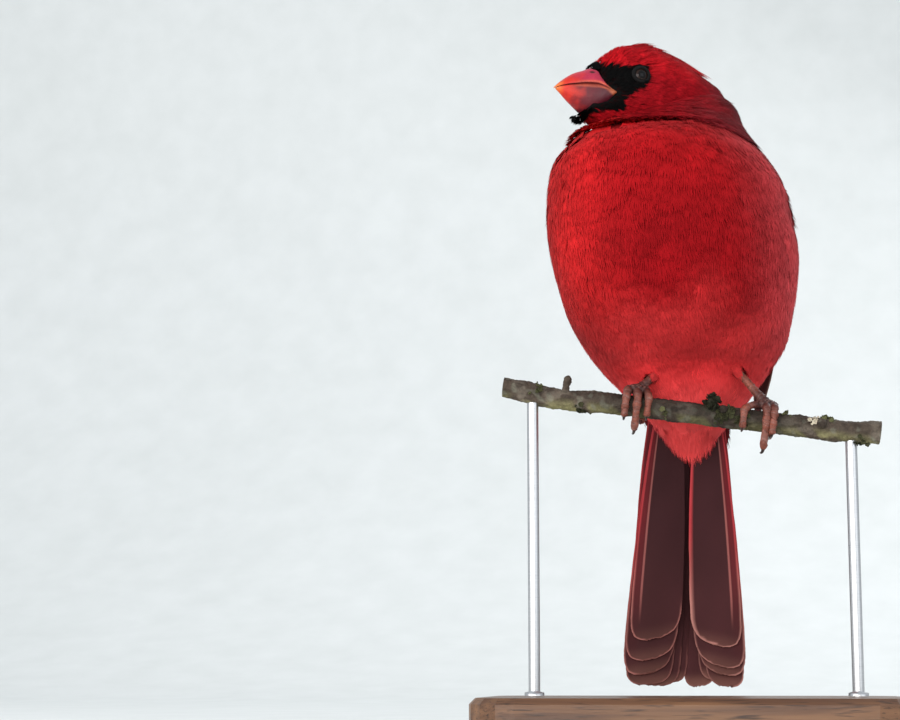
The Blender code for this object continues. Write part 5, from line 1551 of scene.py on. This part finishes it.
def make_eyes():
    """Glossy eyes: spheres with pupil and iris marked round their outward axis, in rims of bare black lid."""
    eye = attribute_finish("eye", 0.2, 0.03, 900.0, 3000.0, 0.5, Coat_Weight=0.3, Coat_Roughness=0.03)
    rim = attribute_finish("eyelid skin", 0.75, 0.15, 900.0, 4000.0, 0.6, 0.5)
    for side, sign in (("left", 1.0), ("right", -1.0)):
        turn = np.linspace(0.02, np.pi - 0.02, 33)
        round_ = full_turn(48)
        radius = EYE_RADIUS * (1 + 0.05 * np.exp(-((turn / 0.5) ** 2)))
        rings = stack(
            (radius * np.sin(turn))[:, None] * np.cos(round_),
            (sign * (EYE_SIDE + radius * np.cos(turn) - 0.5))[:, None],
            (radius * np.sin(turn))[:, None] * np.sin(round_),
        )
        points, triangles = loft(rings)
        away = np.hypot(points[:, 0], points[:, 2])
        colour = mix(MASK_BLACK, IRIS_BROWN, ramp(1.25, 1.5, away))
        colour = mix(colour, EYE_EDGE, ramp(2.0, 2.6, away))
        put(
            "eye_" + side + "_ball",
            from_head(points),
            outward(points, triangles),
            eye,
            "eye_dark",
            ("eye_" + side,),
            colour,
        )
        around, tube_angle = np.meshgrid(full_turn(72), full_turn(14), indexing="ij")
        ripple = 1 + 0.10 * np.cos(around * 26) * np.cos(tube_angle - 0.5)
        thick = 0.62 * ripple
        reach = 2.75 + 0.1 * np.cos(around * 2 + 0.4) + thick * np.cos(tube_angle)
        x = reach * np.cos(around) * 1.06
        z = reach * np.sin(around) * 0.94
        surface = np.interp(np.abs(x) + np.abs(z) * 0.3, [0, 6], [LID_SIDE + 0.1, LID_SIDE - 0.9])
        y = sign * (surface + 0.75 * thick * np.sin(tube_angle))
        ring = stack(x, y, z)
        rows = np.concatenate([ring, ring[:1]])
        points = rows.reshape(-1, 3)[: 72 * 14]
        triangles = grid_faces(73, 14, True) % (72 * 14)
        put(
            "eyelid_" + side,
            from_head(points),
            outward(points, triangles),
            rim,
            "head_feathers",
            (),
            np.broadcast_to(LID_BLACK, points.shape),
        )


# Feet
def scutes(count, height, seed):
    """Uneven overlapping plates round a toe or leg: its radius' factor, and each place's plate tone.

    The tone is from -1 in a groove to 1 on a plate's pale worn edge, and differs from plate to plate.
    """
    draws = np.random.default_rng(seed)
    tall, worn, shift = (
        draws.uniform(0.5, 1.5, count + 2), draws.uniform(-0.5, 1.0, count + 2), draws.uniform(0, 6, 3)
    )

    def at(share, angle):
        warped = share * count + 0.22 * np.sin(share * 19 + shift[0]) + 0.16 * np.sin(
            angle * 2 + shift[1] + share * 7
        )
        plate = np.clip(warped.astype(int), 0, count + 1)
        step = warped - np.floor(warped)
        top = ramp(-0.35, 0.35, np.cos(angle))
        grain = np.sin(angle * 5 + shift[2]) * np.sin(share * count * 9)
        size = (
            1 + height * tall[plate] * (0.45 - step) * top
            - 0.9 * height * ramp(0.16, 0.0, np.abs(step - 0.97)) * top
        )
        size = size + 0.035 * grain * (1 - top)
        edge = ramp(0.62, 0.84, step) * ramp(0.97, 0.90, step) * (0.5 + 0.5 * worn[plate])
        tone = (edge + 0.35 * worn[plate]) * top - ramp(0.90, 0.97, step) * top + 0.25 * grain * (1 - top)
        return size, tone
    return at


def toe_line(foot_x, start, offset, first, last, free_end, count):
    """A toe's line round the perch, first and last in degrees from its top towards the front."""
    turns = np.radians(np.linspace(first, last, count))
    share = np.linspace(0, 1, count)
    x = foot_x + start + (offset - start) * np.clip(share * 1.8, 0, 1) ** 0.8
    line = perch_point(x) + WRAP_RADIUS * (np.outer(np.cos(turns), PERCH_UP) - np.outer(np.sin(turns), BACK))
    heading = unit(line[-1] - line[-2])
    return np.concatenate([line, [line[-1] + heading * free_end * t for t in (0.5, 1.0)]])


def make_feet():
    """Legs, toes and claws: tubes along the same lines as the solids', with scutes, pads and curved tips."""
    skin = attribute_finish("leg scales", 0.5, 0.35, 500.0, 2600.0, 0.5, 0.35)
    horn = attribute_finish("claw horn", 0.3, 0.5, 500.0, 3000.0, 0.5, 0.1)
    pads = {"inner": 2, "middle": 3, "outer": 4, "hind": 2}
    for side in ("right", "left"):
        x = FOOT_X[side]
        hub = perch_point(x) + PERCH_UP * (WRAP_RADIUS + 0.5)
        spread, free_middle = TOE_SPREAD[side], TOE_FREE[side]
        toes = {
            "inner": (spread[0], 2.4, 104.0, 2.4, 1.32),
            "middle": (spread[1], 3.2, 112.0, free_middle, 1.50),
            "outer": (spread[2], 2.4, 108.0, 3.0, 1.42),
            "hind": ((1.6, 1.9), -4.4, -134.0, 1.2, 1.5),
        }
        angle = full_turn(24)
        legs, claws, tones = [], [], []
        for number, (name, ((start, offset), first, last, free_end, radius)) in enumerate(toes.items()):
            line = toe_line(x, start, offset, first, last, free_end, 8)
            fine = resample(line, 96)
            share = np.linspace(0, 1, 96)
            knobs = 0.10 * np.cos((share * pads[name] + 0.1) * 2 * np.pi)
            radii = radius * (1.04 - 0.22 * share + knobs)
            radii = radii * np.sqrt(np.clip(1 - (np.maximum(share - 0.93, 0) / 0.075) ** 2, 0.05, 1))
            away = unit(fine - perch_point(fine[:, 0]))
            plates = scutes({"middle": 13, "hind": 9}.get(name, 10), 0.20, 70 + number + 10 * (side == "left"))
            legs.append(tube(fine, radii, away, 24, lambda s, a: plates(s, a)[0]))
            tones.append(np.append(plates(share[:, None], angle[None])[1], [0, 0]))
            end, heading = line[-1], unit(line[-1] - line[-2])
            inward = unit(perch_point(end[0]) - end)
            inward = unit(inward - heading * (inward @ heading))
            long = {"middle": 4.6, "hind": 6.5}.get(name, 3.8)
            t = np.linspace(0, 1, 26)[:, None]
            path = (
                end - heading * 0.8 + heading * long * (0.95 * t - 0.45 * t**2)
                + inward * long * (0.10 * t + 0.75 * t**2)
            )
            taper = 0.85 * np.sqrt(1 - t[:, 0] * 0.995) * (1 - 0.2 * t[:, 0])
            claws.append(
                tube(path, taper, -inward, 16, lambda s, a: 1 - 0.22 * ramp(0.5, 0.95, np.abs(np.sin(a))))
            )
        tarsus_end = hub + unit(LEG_LEAN[side]) * LEG_BARE[side]
        lean = unit(LEG_LEAN[side])
        share = np.linspace(0, 1, 110)
        path = hub - lean * 1.0 + np.outer(share, tarsus_end + lean * 5.0 - hub)
        radii = through(((0, 2.3), (0.1, 2.05), (0.25, 1.6), (0.5, 1.32), (0.8, 1.3), (1.0, 1.5)), share)[:, 0]
        front = unit(np.array([0.0, -1.0, 0.0]) - lean * (lean @ np.array([0.0, -1.0, 0.0])))
        plates = scutes(9 if side == "right" else 12, 0.11, 90 + (side == "left"))
        legs.append(tube(path, radii, front, 24, lambda s, a: plates(s, a)[0]))
        tones.append(np.append(plates(share[:, None], angle[None])[1] * 0.5, [0, 0]))
        turn, round_ = np.meshgrid(np.linspace(0.05, np.pi - 0.05, 24), full_turn(32), indexing="ij")
        ball = stack(
            3.9 * np.sin(turn) * np.cos(round_), 2.6 * np.sin(turn) * np.sin(round_), 1.9 * np.cos(turn)
        )
        knuckles = np.cos(ball[..., 0] * 5.2) * np.cos(ball[..., 1] * 5.2 + ball[..., 2])
        legs.append(
            loft(hub + (ball * (1 + 0.09 * knuckles)[..., None]) @ np.stack([PERCH_ALONG, BACK, PERCH_UP]))
        )
        tones.append(np.append(1.2 * knuckles, [0, 0]))
        points, triangles = together(legs)
        tone = np.concatenate(tones)
        low = ramp(8.0, 0.0, np.linalg.norm(points - hub, axis=1) - 2.0)
        colour = mix(LEG_BROWN, TOE_DARK, low)
        colour = mix(colour, SCUTE_PALE, np.clip(tone, 0, 1) * 0.7)
        colour = (
            colour * (1 - 0.8 * np.clip(-tone, 0, 1))[:, None] * (1 + 0.25 * blotches(points, 2.2, 50))[:, None]
        )
        names = ["tarsus_" + side] + [f"toe_{side}_{name}" for name in toes]
        put("foot_" + side, points, triangles, skin, "leg_scales", names, colour)
        points, triangles = together(claws)
        colour = np.broadcast_to(CLAW_BLACK, points.shape) * (1 + 0.3 * blotches(points, 2.0, 51))[:, None]
        names = [f"claw_{side}_{name}" for name in toes]
        put("claws_" + side, points, triangles, horn, "claw_horn", names, colour)


# Perch and stand
def make_perch():
    """The cut branch: rings along its line, swollen and furrowed by noise, with cut ends and side buds."""
    x = np.linspace(-PERCH_REACH, PERCH_REACH, 460)
    away = np.clip((np.abs(x - BIRD_X) - 34.0) / 20.0, 0, 1)
    path = perch_point(x)
    path[:, 1] += away * 1.6 * np.sin(x / 9.0)
    path[:, 2] += away * 1.2 * np.cos(x / 11.0)
    angle = full_turn(72)
    ring = np.cos(angle)[:, None] * PERCH_UP - np.sin(angle)[:, None] * BACK
    flat = stack((x / 3.2)[:, None], PERCH_RADIUS * np.cos(angle), PERCH_RADIUS * np.sin(angle))
    furrow = blotches(flat, 2.4, 60, 20)
    pit = blotches(flat * np.array([3.2, 1, 1]), 1.7, 61, 20)
    node_ring = sum(np.exp(-(((x - at) / 1.6) ** 2)) for at in (-47.0, -33.0, -7.0, 8.0, 36.0, 49.0))
    radius = (
        PERCH_RADIUS - 0.12 + 0.25 * away[:, None] * np.sin(x / 3.1)[:, None] + 0.20 * furrow + 0.12 * pit
        + 0.22 * node_ring[:, None]
    )
    rings = path[:, None] + ring[None] * radius[..., None]
    caps = []
    for index, shares in ((0, (0.55, 0.88)), (-1, (0.88, 0.55))):
        middle = rings[index].mean(0)
        caps.append([middle + (rings[index] - middle) * share for share in shares])
    rings = np.concatenate([caps[0], rings, caps[1]])
    points, triangles = loft(rings)
    count = len(rings) * 72
    cut = np.zeros(len(points))
    cut[: 2 * 72] = cut[count - 2 * 72 :] = 1.0
    meshes, cuts = [(points, triangles)], [cut]
    for at, turn, length, size in (
        (6.6, 20.0, 6.6, 1.6), (10.6, 60.0, 5.6, 1.3), (-43.0, 20.0, 8.0, 1.3), (43.5, 75.0, 6.2, 1.5)
    ):
        out = math.cos(math.radians(turn)) * PERCH_UP - math.sin(math.radians(turn)) * BACK
        steps = np.linspace(0.3, 1.0, 24)[:, None]
        line = perch_point(at) + steps * length * out + steps**2 * PERCH_ALONG * 0.8
        radii = (
            size
            * through(((0, 1.1), (0.33, 0.9), (0.66, 1.1), (0.9, 0.8), (1, 0.3)), np.linspace(0, 1, 24))[:, 0]
        )
        bud = tube(line, radii, PERCH_ALONG, 20, lambda s, a: 1 + 0.12 * np.cos(a * 3 + s * 9) * np.sin(s * 22))
        meshes.append(bud)
        cuts.append(np.zeros(len(bud[0])))
    points, triangles = together(meshes)
    cut = np.concatenate(cuts)
    under = ramp(0.1, -0.9, (points - perch_point(points[:, 0])) @ PERCH_UP / PERCH_RADIUS)
    colour = mix(BARK_BROWN, BARK_TAN, ramp(-0.1, 0.7, blotches(points, 9.0, 62)))
    colour = mix(colour, BARK_FURROW, ramp(0.1, 0.8, blotches(points * np.array([0.5, 1, 1]), 3.0, 63)) * 0.7)
    colour = mix(colour, BARK_GREEN, under * ramp(-0.6, 0.3, blotches(points, 10.0, 64)) * 0.85)
    colour = mix(colour, BARK_PALE, ramp(0.45, 0.9, blotches(points, 5.0, 65)) * 0.55)
    # Painted shadow: the bark near the bird is painted darker; painted light from below makes the branch's
    # underside lighter
    colour = (
        colour * mix(0.39, 0.74, ramp(24.0, 44.0, np.abs(points[:, 0] - BIRD_X)))[:, None]
        * mix(1.0, 1.5, under)[:, None]
    )
    # A dark spot on the branch's top between the feet, under the belly
    colour = mix(
        colour, BARK_DARK_SPOT, ramp(6.0, 3.0, np.linalg.norm(points - np.array([7.0, -1.5, 112.0]), axis=1)) * 0.8
    )
    colour = mix(colour, CUT_WOOD, cut)
    bark = attribute_finish("bark", 0.85, 0.2, 220.0, 1500.0, 0.8, 0.6, 0.0006)
    put("perch_bark", points, triangles, bark, "bark", ("perch_branch",), colour)


def make_lichen():
    """Crusts of lichen: small ruffled cups set close on the bark, each a disc whose rim waves."""
    draws = np.random.default_rng(61)
    r, turn = np.meshgrid(np.linspace(0.05, 1, 5), full_turn(14), indexing="ij")
    meshes, colours = [], []
    for at, around, wide, count, tint in LICHEN_SPOTS:
        for _ in range(count):
            x = at + draws.normal(0, wide * 0.42)
            a = math.radians(around + draws.normal(0, wide * 8.0))
            out = math.cos(a) * PERCH_UP - math.sin(a) * BACK
            side = np.cross(out, PERCH_ALONG)
            size = draws.uniform(0.4, 1.0)
            tip = out + draws.normal(0, 0.55, 3)
            tip = unit(tip)
            one = unit(np.cross(tip, side + 0.3 * PERCH_ALONG))
            two = np.cross(tip, one)
            wave = 0.32 * r**2 * np.sin(turn * draws.integers(3, 6) + draws.uniform(0, 6)) + 0.45 * r**2
            middle = perch_point(x) + out * (
                3.75 + draws.uniform(-0.1, 0.5 if tint < 3 else 4.2) * (1 if tint < 3 else draws.random())
            )
            disc = np.cos(turn)[..., None] * one + np.sin(turn)[..., None] * two
            top = middle + size * (r[..., None] * disc + wave[..., None] * tip)
            low = top - tip * 0.22 - (top - middle) * 0.06
            rings = np.concatenate([top, low[::-1]])
            meshes.append(loft(rings))
            colours.append(
                np.broadcast_to(np.array(LICHEN[tint]) * draws.uniform(0.55, 1.5), (len(meshes[-1][0]), 3))
            )
    points, triangles = together(meshes)
    crust = attribute_finish("lichen", 0.9, 0.15, 500.0, 2500.0, 0.9, 0.5)
    put("perch_lichen", points, triangles, crust, "bark", (), np.concatenate(colours))


def make_stand():
    """Rods turned smooth, with a small collar where each meets the base."""
    steel = steel_finish()
    for label in ("stand_rod_left", "stand_rod_right"):
        low, high = (np.array(corner) * 1000 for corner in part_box(label))
        middle = (low + high) / 2
        foot = [low[2], low[2] + 0.01, BASE_TOP + 1.4, BASE_TOP + 1.8]
        shank = np.linspace(BASE_TOP + 2.0, high[2] - 2.5, 20)
        z = np.concatenate([foot, shank, np.linspace(high[2] - 2.4, high[2], 8)])
        r = np.where(z < BASE_TOP + 1.6, 3.4, ROD_RADIUS)
        angle = full_turn(40)
        rings = stack(
            middle[0] + r[:, None] * np.cos(angle), middle[1] + r[:, None] * np.sin(angle), z[:, None]
        )
        points, triangles = loft(rings)
        put(label + "_turned", points, triangles, steel, "stand_steel", (label,))
    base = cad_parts["stand_base"]
    base.data.materials.clear()
    base.data.materials.append(wood_finish())


# Room
def make_room():
    """A pale floor that curves up into a backdrop, soft light and the camera."""
    turn = np.linspace(0, np.pi / 2, 16)
    y = np.concatenate([[-2600.0, 900.0], 900 + 700 * np.sin(turn[1:]), [1600.0]])
    z = np.concatenate([[0.0, 0.0], 700 - 700 * np.cos(turn[1:]), [3600.0]])
    x = np.linspace(-3200, 3200, 9)
    sheet = stack(x, y[:, None], z[:, None] - FLOOR_DROP)
    mesh = bpy.data.meshes.new("floor")
    mesh.from_pydata((sheet.reshape(-1, 3) * MM).tolist(), [], grid_faces(len(y), 9)[:, ::-1].tolist())
    mesh.polygons.foreach_set("use_smooth", np.ones(len(mesh.polygons), bool))
    floor = linked("floor", mesh)
    paper, tree, shader = finish("paper", 0.9, 0.1)
    place = node(tree, "TexCoord").outputs["Object"]
    tone = use(tree, SPECKLE, Place=place, Coarse=1.2, Fine=30.0).outputs["Tone"]
    tree.links.new(
        blend(tree, maths(tree, "ADD", tone, 0.5), PAPER_DARK, PAPER_LIGHT), shader.inputs["Base Color"]
    )
    mesh.materials.append(paper)

    world = bpy.data.worlds.new("room light")
    bpy.context.scene.world = world
    world.use_nodes = True
    world.node_tree.nodes["Background"].inputs[0].default_value = (0.86, 0.93, 1.0, 1.0)
    world.node_tree.nodes["Background"].inputs[1].default_value = 0.80
    for name, place, size, power, tint in (
        ("window", (-1.4, -1.3, 0.7), 1.5, 17.0, (1.0, 0.98, 0.95)),
        ("fill", (1.3, -1.1, 0.4), 1.2, 6.0, (0.92, 0.96, 1.0)),
        ("low", (-0.2, -0.9, 0.03), 0.9, 12.0, (1.0, 0.97, 0.95)),
        ("back", (0.6, 1.0, 1.1), 0.9, 8.0, (0.95, 0.98, 1.0)),
    ):
        lamp = bpy.data.lights.new(name, "AREA")
        lamp.size = size
        lamp.energy = power
        lamp.color = tint
        obj = linked(name, lamp)
        obj.location = place
        aim = np.array([0.0, 0.0, 0.16]) - np.array(place)
        obj.rotation_euler = direction_angles(aim)

    camera = bpy.data.cameras.new("camera")
    camera.sensor_width = 36.0
    camera.lens = 36.0 * 2045.0 / 900.0
    camera.clip_start = 0.01
    obj = linked("camera", camera)
    obj.location = (0.0, -0.7, 0.018)
    obj.rotation_euler = (math.radians(90.0 + 8.8615), 0.0, math.radians(6.7467))
    bpy.context.scene.camera = obj
    bpy.context.scene.view_settings.view_transform = "Standard"


def direction_angles(aim):
    """Euler angles that turn a lamp's -Z along a direction."""
    aim = unit(aim)
    return (math.acos(-aim[2]), 0.0, math.atan2(aim[0], -aim[1]) + math.pi)


make_skin()
make_body_coat()
make_head_coat()
make_neck_coat()
make_crest()
make_coverts()
make_thighs()
make_tail()
make_wing("left")
make_wing("right")
make_bill()
make_eyes()
make_feet()
make_perch()
make_lichen()
make_stand()
make_room()
